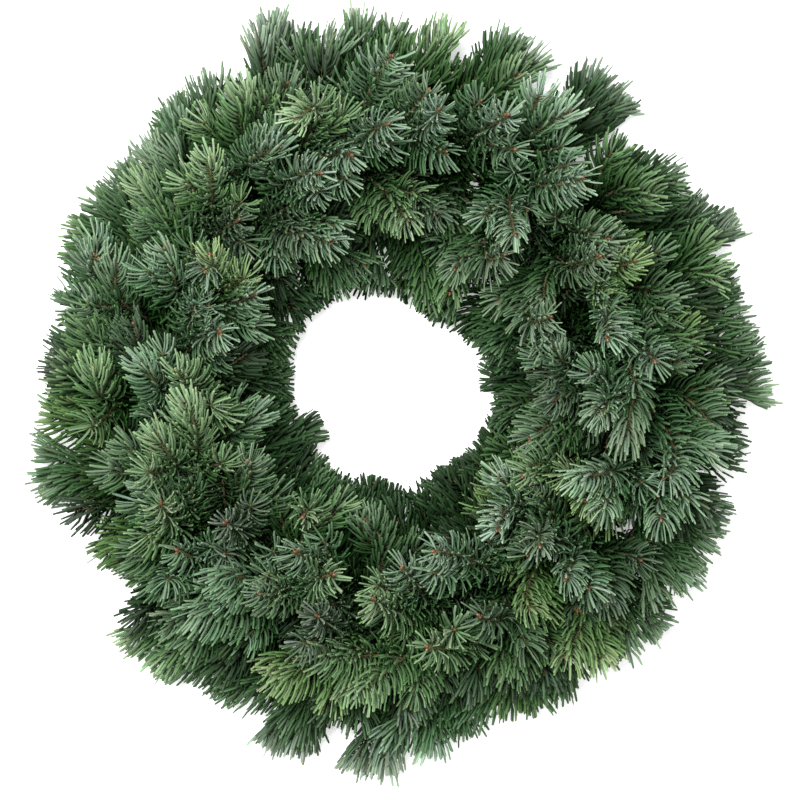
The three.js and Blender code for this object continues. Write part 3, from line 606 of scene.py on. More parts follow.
def share_out():
    """Each clamp takes the shoots whose buds lie ahead of it, in thirds from hole to rim."""
    shoots = [Shoot(row) for row in SHOOTS]
    branches = []
    for index in range(CLAMPS):
        seat = Seat(index)
        ahead = [shoot for shoot in shoots if clamp_behind(shoot) == index]
        ahead.sort(key=lambda shoot: shoot.across)
        for place in range(len(TIERS)):
            first = round_half_up(len(ahead) * place / len(TIERS))
            last = round_half_up(len(ahead) * (place + 1) / len(TIERS))
            branches.append(Branch(len(branches), seat, index + 1, place, ahead[first:last]))
    return branches


def bows():
    """Ways in which a shoot may bow to pass the others: aside, upward and how far raised."""
    for raised in BOW_RAISES:
        yield 0.0, 0.0, raised
        for size in BOW_SIZES:
            for turn in np.radians(BOW_TURNS):
                yield size * math.cos(turn), size * math.sin(turn), raised


def station_points(curve, needled):
    """Points along a shoot where its plain wood and its needle rings begin, and its bud."""
    end = curve.total - BUD_LENGTH
    bands = max(NEEDLE_BANDS, round_half_up(needled / BAND_PITCH))
    first = max(curve.total - needled, curve.total * BARE_WOOD)
    rings = np.linspace(first, end - 1 - NEEDLE_BASE, bands)
    stations = np.concatenate([[0], np.stack([rings, rings + NEEDLE_BASE], 1).ravel(), [end]])
    return np.concatenate([curve.at(stations)[0], curve.corners[3:]])


def hoop_rods():
    """The clamps' bars and the hoop between them."""
    rods = Rods()
    half = CLAMP_INSIDE_WIDTH / 2 + CLAMP_WIRE / 2
    tall = CLAMP_INSIDE_HEIGHT / 2 + CLAMP_WIRE / 2
    seats = [Seat(index) for index in range(CLAMPS)]
    for seat, following in zip(seats, seats[1:] + seats[:1]):
        inner, outer = seat.middle - seat.outward * half, seat.middle + seat.outward * half
        low, high = UP * (STEM_HEIGHT - tall), UP * (STEM_HEIGHT + tall)
        rods.add(np.array([inner + low, inner + high, outer + high, outer + low]), CLAMP_WIRE)
        lift = UP * HOOP_WIRE / 2
        rods.add(np.array([seat.middle + lift, following.middle + lift]), HOOP_WIRE)
    return rods


def lay_out():
    """Every branch, with a curve for each of its shoots that passes all the others."""
    branches = share_out()
    rods = hoop_rods()
    for branch in branches:
        rods.add(np.array([branch.cut, branch.fork]), STEM_RADIUS, branch.owner)
    for branch in branches:
        for place, shoot in enumerate(branch.shoots):
            for bow in [*bows(), (0.0, 0.0, 0.0)]:
                shoot.curve = branch.curve(shoot, place, *bow)
                points = station_points(shoot.curve, shoot.needled)
                high = points[1:, 2].min() > POINT_LOWEST
                if high and rods.clear_of(points, SHOOT_ROOM, branch.owner):
                    break
            rods.add(points, SHOOT_ROOM, branch.owner)
    return branches


# ---------------------------------------------------------------------------------------------
# Meshes
# ---------------------------------------------------------------------------------------------


class Shell:
    """Closed shapes of one piece, gathered as whole arrays and made into one mesh."""

    def __init__(self):
        self.points, self.corners, self.sizes = [], [], []
        self.maps, self.tints, self.places, self.slots = [], [], [], []
        self.count = 0

    def loft(self, rings, ends, levels, tint, place, slot, strip):
        """Closes rings of points into shapes, each with a point at either end.

        rings is shapes x rings x sides x 3, in millimetres, and ends is shapes x 2 x 3. Corner s
        of ring r joins corner s + 1 and ring r + 1. strip gives each shape a cell of its own in
        the piece's map: a grid of so many columns between two heights of the map.
        """
        shapes, count, sides = rings.shape[:3]
        each = count * sides + 2
        ring, side = np.meshgrid(np.arange(count - 1), np.arange(sides), indexing="ij")
        after = (side + 1) % sides
        quads = np.stack([ring * sides + side, ring * sides + after], -1)
        quads = np.concatenate([quads, (quads + sides)[..., ::-1]], -1).reshape(-1, 4)
        s, n = np.arange(sides), (np.arange(sides) + 1) % sides
        low, high = np.full(sides, each - 2), np.full(sides, each - 1)
        last = (count - 1) * sides
        start_caps = np.stack([low, n, s], -1)
        end_caps = np.stack([high, last + s, last + n], -1)
        pattern = np.concatenate([quads.ravel(), start_caps.ravel(), end_caps.ravel()])
        sizes = np.concatenate([np.full(len(quads), 4), np.full(2 * sides, 3)])

        v = MAP_CAPS + (1 - 2 * MAP_CAPS) * np.asarray(levels)
        u0, u1 = side / sides, (side + 1) / sides
        v0, v1 = v[ring], v[ring + 1]
        quad_map = np.stack([u0, v0, u1, v0, u1, v1, u0, v1], -1).reshape(-1, 2)
        a, b, m = s / sides, (s + 1) / sides, (s + 0.5) / sides
        bottom, top = np.full(sides, v[0]), np.full(sides, v[-1])
        start_map = np.stack([m, 0 * m, b, bottom, a, bottom], -1).reshape(-1, 2)
        end_map = np.stack([m, 0 * m + 1, a, top, b, top], -1).reshape(-1, 2)
        local = np.concatenate([quad_map, start_map, end_map])
        local = local * (1 - 2 * MAP_MARGIN) + MAP_MARGIN

        columns, lowest, highest = strip
        rows = math.ceil(shapes / columns)
        cell = np.arange(shapes)
        corner = np.stack([cell % columns, cell // columns], -1)[:, None]
        spread = (corner + local) / (columns, rows)
        spread[..., 1] = mixed(lowest, highest, spread[..., 1])

        points = np.concatenate([rings.reshape(shapes, -1, 3), ends], axis=1).reshape(-1, 3)
        points[:, 2] = np.maximum(points[:, 2], FLOOR_TOUCH)
        self.points.append(points)
        offsets = self.count + each * np.arange(shapes)[:, None]
        self.corners.append((offsets + pattern).ravel())
        self.sizes.append(np.tile(sizes, shapes))
        self.maps.append(spread.reshape(-1, 2))
        self.tints.append(np.broadcast_to(tint, (shapes, each, 3)).reshape(-1, 3))
        self.places.append(np.broadcast_to(place, (shapes, each, 3)).reshape(-1, 3))
        self.slots.append(np.full(len(sizes) * shapes, slot))
        self.count += each * shapes

    def mesh(self, name, materials):
        """One mesh in metres, with its map, its tints and the place of each point on its shape."""
        points = np.concatenate(self.points) + HOOP_MIDDLE
        corners, sizes = np.concatenate(self.corners), np.concatenate(self.sizes)
        data = bpy.data.meshes.new(name)
        data.vertices.add(len(points))
        data.vertices.foreach_set("co", (points * MM).ravel())
        data.loops.add(len(corners))
        data.loops.foreach_set("vertex_index", corners.astype(np.int32))
        data.polygons.add(len(sizes))
        starts = np.concatenate([[0], np.cumsum(sizes)[:-1]])
        data.polygons.foreach_set("loop_start", starts.astype(np.int32))
        data.polygons.foreach_set("loop_total", sizes.astype(np.int32))
        data.polygons.foreach_set("material_index", np.concatenate(self.slots).astype(np.int32))
        data.polygons.foreach_set("use_smooth", np.ones(len(sizes), bool))
        layer = data.uv_layers.new(name="OFBake")
        layer.data.foreach_set("uv", np.concatenate(self.maps).ravel())
        for label, values in (("tint", self.tints), ("place", self.places)):
            attribute = data.attributes.new(label, "FLOAT_VECTOR", "POINT")
            attribute.data.foreach_set("vector", np.concatenate(values).ravel())
        data.update(calc_edges=True)
        data.validate()
        for material in materials:
            data.materials.append(material)
        piece = bpy.data.objects.new(name, data)
        bpy.context.scene.collection.objects.link(piece)
        return piece


def circle(sides):
    """Cosine and sine of equal steps round a circle."""
    angles = 2 * np.pi * np.arange(sides) / sides
    return np.cos(angles), np.sin(angles)


def tube_rings(curve, distances, radii, sides):
    """Circles of the given radii across a curve, at distances along it."""
    middles, directions = curve.at(distances)
    wide, tall = curve.frames(directions)
    cosine, sine = circle(sides)
    spokes = wide[:, None] * cosine[:, None] + tall[:, None] * sine[:, None]
    return middles[:, None] + spokes * radii[:, None, None]


# ---------------------------------------------------------------------------------------------
# Twigs, buds and needles
# ---------------------------------------------------------------------------------------------


class Twig:
    """A line that carries needles: a main shoot, a side shoot, or older growth beneath them."""

    def __init__(self, curve, start, thickness, needle, shoot, buds, tone, plain=False):
        self.curve, self.start, self.thickness = curve, start, thickness
        self.needle, self.shoot, self.buds = needle, shoot, buds
        self.tone, self.plain = tone, plain


def side_twigs(shoot, rng, sizes):
    """Two side shoots of a main shoot, in turn to its left and right and a little lower."""
    total = shoot.curve.total
    thickness, bare = SIDE_TWIG
    twigs = []
    for share, side in zip(SIDE_SHARES, rng.permutation([-1.0, 1.0])):
        distance = np.array([total * (share + rng.uniform(-SIDE_SHIFT, SIDE_SHIFT))])
        point, ahead = (values[0] for values in shoot.curve.at(distance))
        level = np.cross(ahead, UP)
        if np.linalg.norm(level) < 0.3:
            level = np.cross(ahead, shoot.comb)
        level = unit(level) * side
        length = min(total * (1 - share) * 0.95, rng.uniform(*SIDE_LENGTH))
        forward, aside, down = SIDE_LEAVES
        leave = unit(ahead * forward + level * aside - UP * down)
        forward, aside, down = SIDE_ENDS
        end = point + unit(ahead * forward + level * aside - UP * down) * length
        end[2] = max(end[2], SIDE_LOWEST)
        arrive = end - unit(ahead + level * 0.25) * length * ARRIVE_REACH
        curve = Curve(point, point + leave * length * LEAVE_REACH, arrive, end)
        needle = sizes.length * SIDE_NEEDLES
        buds = int(rng.random() < SIDE_BUDS)
        twigs.append(Twig(curve, length * bare, thickness, needle, shoot, buds, shoot.tone))
    return twigs


def fillers(branch, rng, sizes):
    """Older growth low in the body of the wreath: short twigs that fan out from the fork."""
    seat = branch.seat
    thickness, bare = LOW_TWIG
    tones = [shoot.tone for shoot in branch.shoots]
    twigs = []
    for index in range(FILLERS):
        root = mixed(branch.cut, branch.fork, rng.uniform(*FILLER_ROOT))
        length = rng.uniform(*FILLER_LENGTH)
        aside = FILLER_FAN[index % len(FILLER_FAN)] + branch.side * LAUNCH_ASIDE
        aside = aside + rng.uniform(-FILLER_TURN, FILLER_TURN)
        way = unit(seat.along * rng.uniform(*FILLER_ALONG) + seat.outward * aside)
        end = root + way * length
        end[2] = rng.uniform(*FILLER_HEIGHT)
        leave = root + unit(way + UP * 0.2) * length * LEAVE_REACH
        arrive = end - unit(way + UP * rng.uniform(*FILLER_DROOP)) * length * ARRIVE_REACH
        shoot = branch.shoots[index % len(branch.shoots)]
        tone = "d" if index % 2 else tones[index % len(tones)]
        curve = Curve(root, leave, arrive, end)
        needle = sizes.length
        twigs.append(Twig(curve, length * bare, thickness, needle, shoot, 0, tone, True))
    return twigs


def fringe(branch, rng, sizes):
    """Twigs that reach from an inner branch to the open middle, or from an outer one to the rim."""
    if not branch.side:
        return []
    seat = branch.seat
    thickness, bare = LOW_TWIG
    inner = branch.side < 0
    shoot = branch.shoots[0 if inner else -1]
    twigs = []
    for plain in (False, True) if inner else (False,):
        ahead = FRINGE_NEAR if plain else FRINGE_AHEAD
        angle = math.degrees(math.atan2(*seat.outward[:2])) + rng.uniform(*ahead)
        hole, rim = edges(angle / 30 % 12)
        reach = hole + FRINGE_SHORT if inner else rim - FRINGE_SHORT
        root = mixed(branch.cut, branch.fork, FRINGE_ROOT)
        end = compass(angle) * reach + UP * rng.uniform(*FRINGE_HEIGHT)
        length = np.linalg.norm(end - root)
        away = seat.outward * branch.side
        leave = root + unit(seat.along + away * 0.4 + UP * 0.1) * length * LEAVE_REACH
        arrive = end - unit(away + seat.along * 0.5) * length * ARRIVE_REACH
        curve = Curve(root, leave, arrive, end)
        needle, tone = sizes.length, shoot.tone
        buds = 0 if inner else 1
        twigs.append(Twig(curve, length * bare, thickness, needle, shoot, buds, tone, plain))
    return twigs


def add_twigs(shell, branch, twigs):
    """A tube along each twig that thins to its tip, and the clamped stem with its cut end."""
    levels = np.linspace(0, 1, TWIG_RINGS)
    swell, pace = TWIG_SWELLS
    rings, ends = [], []
    for twig in twigs:
        radii = mixed(TWIG_FORK_RADIUS, TWIG_TIP_RADIUS, levels) * twig.thickness
        radii = radii * (1 + swell * np.sin(levels * twig.curve.total * pace))
        distances = levels * (twig.curve.total - 1.0)
        rings.append(tube_rings(twig.curve, distances, radii, TWIG_SIDES))
        ends.append(twig.curve.at(np.array([0.0, twig.curve.total]))[0])
    place = np.zeros((TWIG_RINGS * TWIG_SIDES + 2, 3))
    place[:, 0] = np.concatenate([np.repeat(levels, TWIG_SIDES), [0, 1]])
    strip = (len(twigs) + 1, *MAP_TWIGS)
    shell.loft(np.array(rings), np.array(ends), levels, BARK_TINT, place, BARK, strip)

    thirds = [mixed(branch.cut, branch.fork, share) for share in (1 / 3, 2 / 3)]
    line = Curve(branch.cut, *thirds, branch.fork)
    distances = np.array([0, 0, 0.4, 4, 9, 14, 19, line.total - 0.6, line.total])
    radii = STEM_RADIUS * np.array([0.55, 0.88, 1, 1, 0.98, 1.0, 0.97, 0.95, 0.7])
    levels = np.linspace(0, 1, len(radii))
    ring = tube_rings(line, distances, radii, STEM_SIDES)[None]
    tint = np.tile(BARK_TINT, (len(radii) * STEM_SIDES + 2, 1))
    tint[: 2 * STEM_SIDES] = CUT_TINT
    tint[-2] = CUT_TINT
    ends = np.array([[branch.cut, branch.fork]])
    shell.loft(ring, ends, levels, tint, 0.0, BARK, (1, *MAP_STEM))


def add_buds(shell, twigs, rng):
    """Egg-shaped buds in a cluster at each tip: radius sin(pi s)^0.8, fuller below the middle."""
    levels = np.array([0.08, 0.28, 0.52, 0.76, 0.93])
    cosine, sine = circle(BUD_SIDES)
    swell = np.sin(np.pi * levels**0.85) ** 0.8
    rings, ends, tints = [], [], []
    for twig in twigs:
        tip, ahead = (values[0] for values in twig.curve.at(np.array([twig.curve.total - 1.2])))
        across = unit(np.cross(ahead, unit(rng.normal(size=3))))
        tint = BUD_TINT * rng.uniform(0.75, 1.25)
        for index in range(twig.buds):
            turn = 2 * np.pi * index / max(1, twig.buds - 1) + rng.uniform(-0.3, 0.3)
            lean = 0.0 if index == 0 else rng.uniform(*BUD_LEAN)
            out = across * math.cos(turn) + np.cross(ahead, across) * math.sin(turn)
            axis = unit(ahead + out * lean)
            rank = 1.0 if index == 0 else SIDE_BUD_SIZE
            size = rng.uniform(*BUD_SPREAD) * rank * (0.7 + 0.3 * twig.thickness)
            length, radius = BUD_SIZE[0] * size, BUD_SIZE[1] * size
            base = tip + out * lean * 1.1
            wide = unit(np.cross(axis, [0.3, 0.5, 0.8]))
            tall = np.cross(axis, wide)
            spokes = wide[None] * cosine[:, None] + tall[None] * sine[:, None]
            middles = base + axis * (levels * length)[:, None]
            rings.append(middles[:, None] + spokes[None] * (swell * radius)[:, None, None])
            ends.append([base, base + axis * length])
            tints.append(tint)
    count = len(levels) * BUD_SIDES + 2
    place = np.zeros((count, 3))
    place[:, 0] = np.concatenate([np.repeat(levels, BUD_SIDES), [0, 1]])
    tint = np.array(tints)[:, None] * np.ones((1, count, 1))
    strip = (len(rings), *MAP_BUDS)
    shell.loft(np.array(rings), np.array(ends), levels, tint, place, BUD, strip)


class Needles:
    """Where the needles of one branch stand, as arrays with one row for each."""

    def __init__(self):
        self.rows = []

    def grow(self, twig, rng, sizes):
        """Needles in golden-angle order round a twig, thicker set towards its tip.

        Each leaves its twig at a lean that closes from base to tip, is swept to the side that
        the shoot's needles are combed to, and turns upwards.
        """
        run = twig.curve.total - twig.start
        dense = min(run, run if twig.plain else twig.shoot.needled)
        fresh = sizes.per_cm_plain if twig.plain else sizes.per_cm
        older = (run - dense) * sizes.per_cm_inside / 10
        count = int(dense * fresh / 10 + older)
        order = (np.arange(count) + rng.uniform(*SPACING, count)) / count
        sparse, inside = (run - dense) / run, older / count
        share = np.where(
            order < inside,
            order / max(inside, 1e-6) * sparse,
            sparse + (order - inside) / (1 - inside) * (1 - sparse),
        )
        distances = twig.start + share * (run - 0.8)
        middles, ahead = twig.curve.at(distances)
        wide, tall = twig.curve.frames(ahead)
        turn = np.arange(count) * GOLDEN_TURN + rng.normal(0, TURN_SPREAD, count)
        spoke = wide * np.cos(turn)[:, None] + tall * np.sin(turn)[:, None]
        age = 1 - (distances - twig.start) / run
        lean = mixed(sizes.lean_tip, sizes.lean_base, age**LEAN_OPENS)
        lean = np.radians(lean + rng.normal(0, LEAN_SPREAD, count))[:, None]
        level = 1 - ahead[:, 2:] ** 2
        sweep = sizes.comb * mixed(*COMBED_BY_LEVEL, level)
        sweep = sweep * rng.uniform(*COMB_SPREAD, (count, 1))
        sweep = sweep * rng.uniform(*COMBED)
        lift = sizes.lift * rng.uniform(*LIFT_SPREAD, (count, 1))
        flat = np.array([1.0, 1.0, rng.uniform(*FLATTENED)])
        aim = ahead * np.cos(lean) + unit(spoke * flat) * np.sin(lean)
        strays = rng.normal(0, AIM_SPREAD, (count, 3))
        aim = unit(aim + twig.shoot.comb * sweep + UP * lift + strays)
        root = middles + spoke * TWIG_TIP_RADIUS * 0.6
        shortest, beneath = LAST_NEEDLES
        length = twig.needle * rng.uniform(*LENGTH_SPREAD, count)
        length = length * mixed(shortest, 1.0, np.clip(age / beneath, 0, 1))
        if not twig.plain:
            length = length * mixed(*LONGER_AT_RIM, np.clip(across_ring(root), 0, 1))
        aim[:, 2] = np.maximum(aim[:, 2], (FLOOR_ROOM - root[:, 2]) / length)
        aim = unit(aim)
        room = ring_room(root, aim, length, twig.curve.corners[3], rng)
        clear = room > HOLE_SHORTEST
        length = length * room
        # Painted light and shade: each needle's tint darkens with depth in the mound and towards
        # the twig's base, and lightens at the rim
        shade = (mixed(*LIT_BY_AGE, age) * lit_share(root))[:, None]
        tint = np.array(TONES[twig.tone]) * rng.uniform(*TINT_SPREAD, (count, 1))
        tint = tint * np.minimum(shade, 1) ** SHADE_HUE * np.maximum(shade, 1)
        tint = tint * (1 + rng.normal(0, HUE_SPREAD, (count, 3)))
        # Painted shade on the twigs beneath and on the shoots in SHADY; paler backs on the shoots
        # in PALE
        tint = tint * (PLAIN_SHADE if twig.plain else twig.shoot.cast)
        hook = rng.uniform(*HOOKED) * rng.uniform(*HOOK_SPREAD, count)
        plain = np.full(count, twig.plain) | (order < inside)
        rows = (root, ahead, spoke, aim, hook, length, tint, plain)
        self.rows.append([values[clear] for values in rows])

    def add_to(self, shell, rng, sizes):
        """Adds the needles to a shell: those near the tips fine, and those within plainer."""
        rows = [np.concatenate(part) for part in zip(*self.rows)]
        plain = rows.pop()
        strip = (NEEDLE_COLUMNS, *MAP_FINE)
        fine = (NEEDLE_LEVELS, NEEDLE_PROFILE, NEEDLE_SIDES, FINE, strip)
        add_blades(shell, [values[~plain] for values in rows], rng, sizes, *fine)
        strip = (PLAIN_COLUMNS, *MAP_WITHIN)
        coarse = (PLAIN_LEVELS, PLAIN_PROFILE, PLAIN_SIDES, WITHIN, strip)
        add_blades(shell, [values[plain] for values in rows], rng, sizes, *coarse)


def across_ring(root):
    """-1 near the open middle, 0 over the hoop and 1 near the rim."""
    return (np.hypot(root[:, 0], root[:, 1]) - HOOP_RADIUS) / BODY_HALF_WIDTH


def lit_share(root):
    """How much light is painted into a needle's tint.

    It grows with the needle's height over a depth that lessens towards both edges of the ring,
    and it is strongest at the rim.
    """
    across = across_ring(root)
    depth = SHADED_BELOW * np.interp(across, *DEPTH_ACROSS)
    height = np.clip(root[:, 2] / depth, 0, 1)
    return mixed(LIT_AT_FLOOR, 1.0, height) * np.interp(across, *LIT_ACROSS)


def edges(hours):
    """Radii of the open middle and of the rim at clock hours, in millimetres."""
    hole = np.interp(hours, np.arange(13), [*HOLE_BY_HOUR, HOLE_BY_HOUR[0]])
    rims = np.stack([RIM_BY_HOUR, RIM_BETWEEN], 1).ravel()
    rim = np.interp(hours, np.arange(25) / 2, [*rims, rims[0]])
    return hole * UNIT, rim * UNIT


def ring_room(root, aim, length, bud, rng):
    """The share of each needle's length that keeps it between the open middle and the rim.

    Both edges run evenly from one given radius to the next, a little ragged, and pass round
    the twig's own bud. A needle is shortened by as much as its tip would pass one.
    """
    furthest = np.hypot(bud[0], bud[1])
    tip = root + aim * length[:, None]
    hours = np.degrees(np.arctan2(tip[:, 0], tip[:, 1])) / 30 % 12
    ragged = rng.normal(1, RAGGED, len(root))
    hole, rim = (edge * ragged for edge in edges(hours))
    hole = np.minimum(hole, furthest - PAST_BUD)
    rim = np.maximum(rim, furthest + PAST_BUD)
    start, reached = np.hypot(root[:, 0], root[:, 1]), np.hypot(tip[:, 0], tip[:, 1])
    inside = np.maximum(0, hole - reached) / np.maximum(1e-6, start - reached)
    outside = np.maximum(0, reached - rim) / np.maximum(1e-6, reached - start)
    return 1 - inside - outside


def add_blades(shell, rows, rng, sizes, levels, profile, sides, slot, strip):
    """Flat blades along a cubic that leaves the twig steeply and bends to the needle's aim.

    Across each blade lie a width and a thickness, times a profile that is slim at the foot,
    full along the blade and closed bluntly at the tip.
    """
    root, ahead, spoke, aim, hook, length, tint = rows
    if not len(root):
        return
    reach = length[:, None]
    count = len(root)
    near, far = BLADE_CORNERS
    forward, out, aimed_out = BLADE_FOOT
    bend = rng.uniform(*BLADE_BEND, (count, 1))
    first = unit(ahead * forward + spoke * out + aim * aimed_out)
    second = unit(aim + spoke * bend * 0.75)
    hooked = unit(aim + ahead * hook[:, None] + UP * 0.1)
    bent = root + second * reach * far
    corners = [root, root + first * reach * near, bent, bent + hooked * reach * near]
    corners = np.stack(corners, 1)
    s = levels[None, :, None]
    a, b, c, d = (corners[:, index, None] for index in range(4))
    middles = a * (1 - s) ** 3 + b * 3 * s * (1 - s) ** 2 + c * 3 * s * s * (1 - s) + d * s**3
    slope = unit((b - a) * (1 - s) ** 2 + (c - b) * 2 * s * (1 - s) + (d - c) * s * s)
    upward, outward, backward = BLADE_FACE
    face = UP * upward + spoke * outward - ahead * backward
    face = face + rng.normal(0, FACE_SPREAD, (count, 3))
    wide = unit(np.cross(face[:, None], slope))
    tall = np.cross(slope, wide)
    cosine, sine = circle(sides)
    width = sizes.width / 2 * rng.uniform(*WIDTH_SPREAD, (count, 1)) * profile
    thick = sizes.thickness / 2 * profile
    rings = middles[:, :, None]
    rings = rings + wide[:, :, None] * cosine[:, None] * width[:, :, None, None]
    rings = rings + tall[:, :, None] * sine[:, None] * thick[None, :, None, None]
    ends = corners[:, [0, 3]]
    place = np.stack([
        np.concatenate([np.repeat(levels, sides), [0, 1]]),
        np.concatenate([np.tile(cosine, len(levels)), [0, 0]]),
        np.concatenate([np.tile(sine, len(levels)), [0, 0]]),
    ], -1)
    shell.loft(rings, ends, levels, tint[:, None], place, slot, strip)


def dress_branch(branch, materials, sizes):
    """The fine branch that stands for a plain one: stem, twigs, buds and needles in one piece."""
    rng = np.random.default_rng(1000 + branch.owner)
    shell, needles = Shell(), Needles()
    thickness, bare = MAIN_TWIG
    twigs = []
    for shoot in branch.shoots:
        start = shoot.curve.total * bare
        needle = sizes.length * rng.uniform(*MAIN_NEEDLES)
        buds = int(rng.integers(1, 4))
        twigs.append(Twig(shoot.curve, start, thickness, needle, shoot, buds, shoot.tone))
        twigs.extend(side_twigs(shoot, rng, sizes))
    twigs.extend(fillers(branch, rng, sizes))
    twigs.extend(fringe(branch, rng, sizes))
    for twig in twigs:
        needles.grow(twig, rng, sizes)
    needles.add_to(shell, rng, sizes)
    add_twigs(shell, branch, twigs)
    add_buds(shell, twigs, rng)
    piece = shell.mesh(f"fir_{branch.tier}_{branch.number:02d}", materials)
    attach(piece, "root")
    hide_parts(branch.node)
    return piece


# ---------------------------------------------------------------------------------------------
# Hoop
# ---------------------------------------------------------------------------------------------


def hoop_grid():
    """A round wire bent into a circle: radius R + r cos v, height r + r sin v."""
    around, section = np.meshgrid(
        2 * np.pi * np.arange(HOOP_STEPS) / HOOP_STEPS,
        2 * np.pi * np.arange(WIRE_SIDES) / WIRE_SIDES,
        indexing="ij",
    )
    radius = HOOP_WIRE / 2
    spread = HOOP_RADIUS + radius * np.cos(section)
    height = radius + radius * np.sin(section)
    return np.stack([spread * np.sin(around), spread * np.cos(around), height], -1)


def clamp_grid(seat):
    """A round wire bent into a rectangle with round corners, standing across the hoop.

    The line is half-sizes a and b less the corner radius, plus the radius times a direction
    that turns once round; the wire's own section lies across that line.
    """
    turn = 2 * np.pi * np.arange(CLAMP_STEPS) / CLAMP_STEPS
    turn = turn + 0.16 * np.sin(4 * turn)
    cosine, sine = np.cos(turn), np.sin(turn)
    corner = CLAMP_WIRE * CLAMP_CORNER
    half = CLAMP_INSIDE_WIDTH / 2 + CLAMP_WIRE / 2 - corner
    tall = CLAMP_INSIDE_HEIGHT / 2 + CLAMP_WIRE / 2 - corner
    hold = np.clip(8 * cosine, -1, 1) * half, np.clip(8 * sine, -1, 1) * tall
    line = seat.middle + UP * STEM_HEIGHT
    line = line + (hold[0] + corner * cosine)[:, None] * seat.outward
    line = line + (hold[1] + corner * sine)[:, None] * UP
    outside = cosine[:, None] * seat.outward + sine[:, None] * UP
    wire_cosine, wire_sine = circle(WIRE_SIDES)
    spokes = outside[:, None] * wire_cosine[:, None] + seat.along * wire_sine[:, None]
    return line[:, None] + spokes * CLAMP_WIRE / 2


def weld_grid(seat):
    """A bead of weld where a clamp stands on the hoop: an egg wider than it is tall."""
    polar = np.pi * (np.arange(WELD_STEPS) + 0.5) / WELD_STEPS
    cosine, sine = circle(WIRE_SIDES)
    middle = seat.middle + UP * (HOOP_WIRE - WELD * WELD_SUNK)
    wide, tall, long = WELD_BEAD
    ring = np.sin(polar)[:, None, None]
    flat = seat.outward * cosine[:, None] * wide + UP * sine[:, None] * tall
    return middle + flat[None] * ring + (np.cos(polar) * long)[:, None, None] * -seat.along


def wrapped_faces(first, steps, sides, closed):
    """Quads over a grid that wraps round its section, and along it too where it is closed."""
    along = np.arange(steps if closed else steps - 1)
    step, side = np.meshgrid(along, np.arange(sides), indexing="ij")
    near, far, beside = step * sides, (step + 1) % steps * sides, (side + 1) % sides
    corners = [near + side, far + side, far + beside, near + beside]
    return first + np.stack(corners, -1).reshape(-1, 4)


def make_hoop(material):
    """The hoop, its clamps and their welds as closed round wires in one mesh."""
    points, faces = [], []
    count = 0
    grids = [(hoop_grid(), True)]
    for index in range(CLAMPS):
        grids.append((clamp_grid(Seat(index)), True))
        grids.append((weld_grid(Seat(index)), False))
    for grid, closed in grids:
        steps, sides = grid.shape[:2]
        points.append(grid.reshape(-1, 3))
        faces.extend(wrapped_faces(count, steps, sides, closed).tolist())
        if not closed:
            faces.append(list(range(count, count + sides)))
            faces.append(list(range(count + (steps - 1) * sides, count + steps * sides))[::-1])
        count += steps * sides
    data = bpy.data.meshes.new("hoop")
    data.from_pydata(((np.concatenate(points) + HOOP_MIDDLE) * MM).tolist(), [], faces)
    data.polygons.foreach_set("use_smooth", np.ones(len(data.polygons), bool))
    shape = bmesh.new()
    shape.from_mesh(data)
    bmesh.ops.recalc_face_normals(shape, faces=shape.faces)
    shape.to_mesh(data)
    shape.free()
    data.materials.append(material)
    piece = bpy.data.objects.new("hoop_and_clamps", data)
    bpy.context.scene.collection.objects.link(piece)
    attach(piece, "root")
    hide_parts("wire_hoop")
    return piece


# ---------------------------------------------------------------------------------------------
# Materials
# ---------------------------------------------------------------------------------------------


class Number:
    """A socket that carries numbers. Python's operators on it add the nodes that work them out."""

    def __init__(self, graph, socket):
        self.graph, self.socket = graph, socket

    def math(self, operation, *values, clamp=False):
        """A Math node on the given values, which is held between 0 and 1 where clamp is set."""
        settings = {"operation": operation, "use_clamp": clamp}
        node = self.graph.add("ShaderNodeMath", settings, values)
        return Number(self.graph, node.outputs[0])

    def __add__(self, other):
        return self.math("ADD", self, other)

    def __sub__(self, other):
        return self.math("SUBTRACT", self, other)

    def __rsub__(self, other):
        return self.math("SUBTRACT", other, self)

    def __mul__(self, other):
        return self.math("MULTIPLY", self, other)

    __radd__ = __add__
    __rmul__ = __mul__

    def size(self):
        """The number without its sign."""
        return self.math("ABSOLUTE", self)

    def held(self):
        """The number held between 0 and 1."""
        return self.math("ADD", self, 0.0, clamp=True)

    def rise(self, low, high):
        """0 below low, 1 above high, and smooth between."""
        inputs = {"Value": self, "From Min": low, "From Max": high}
        node = self.graph.add("ShaderNodeMapRange", {"interpolation_type": "SMOOTHSTEP"}, inputs)
        return Number(self.graph, node.outputs[0])


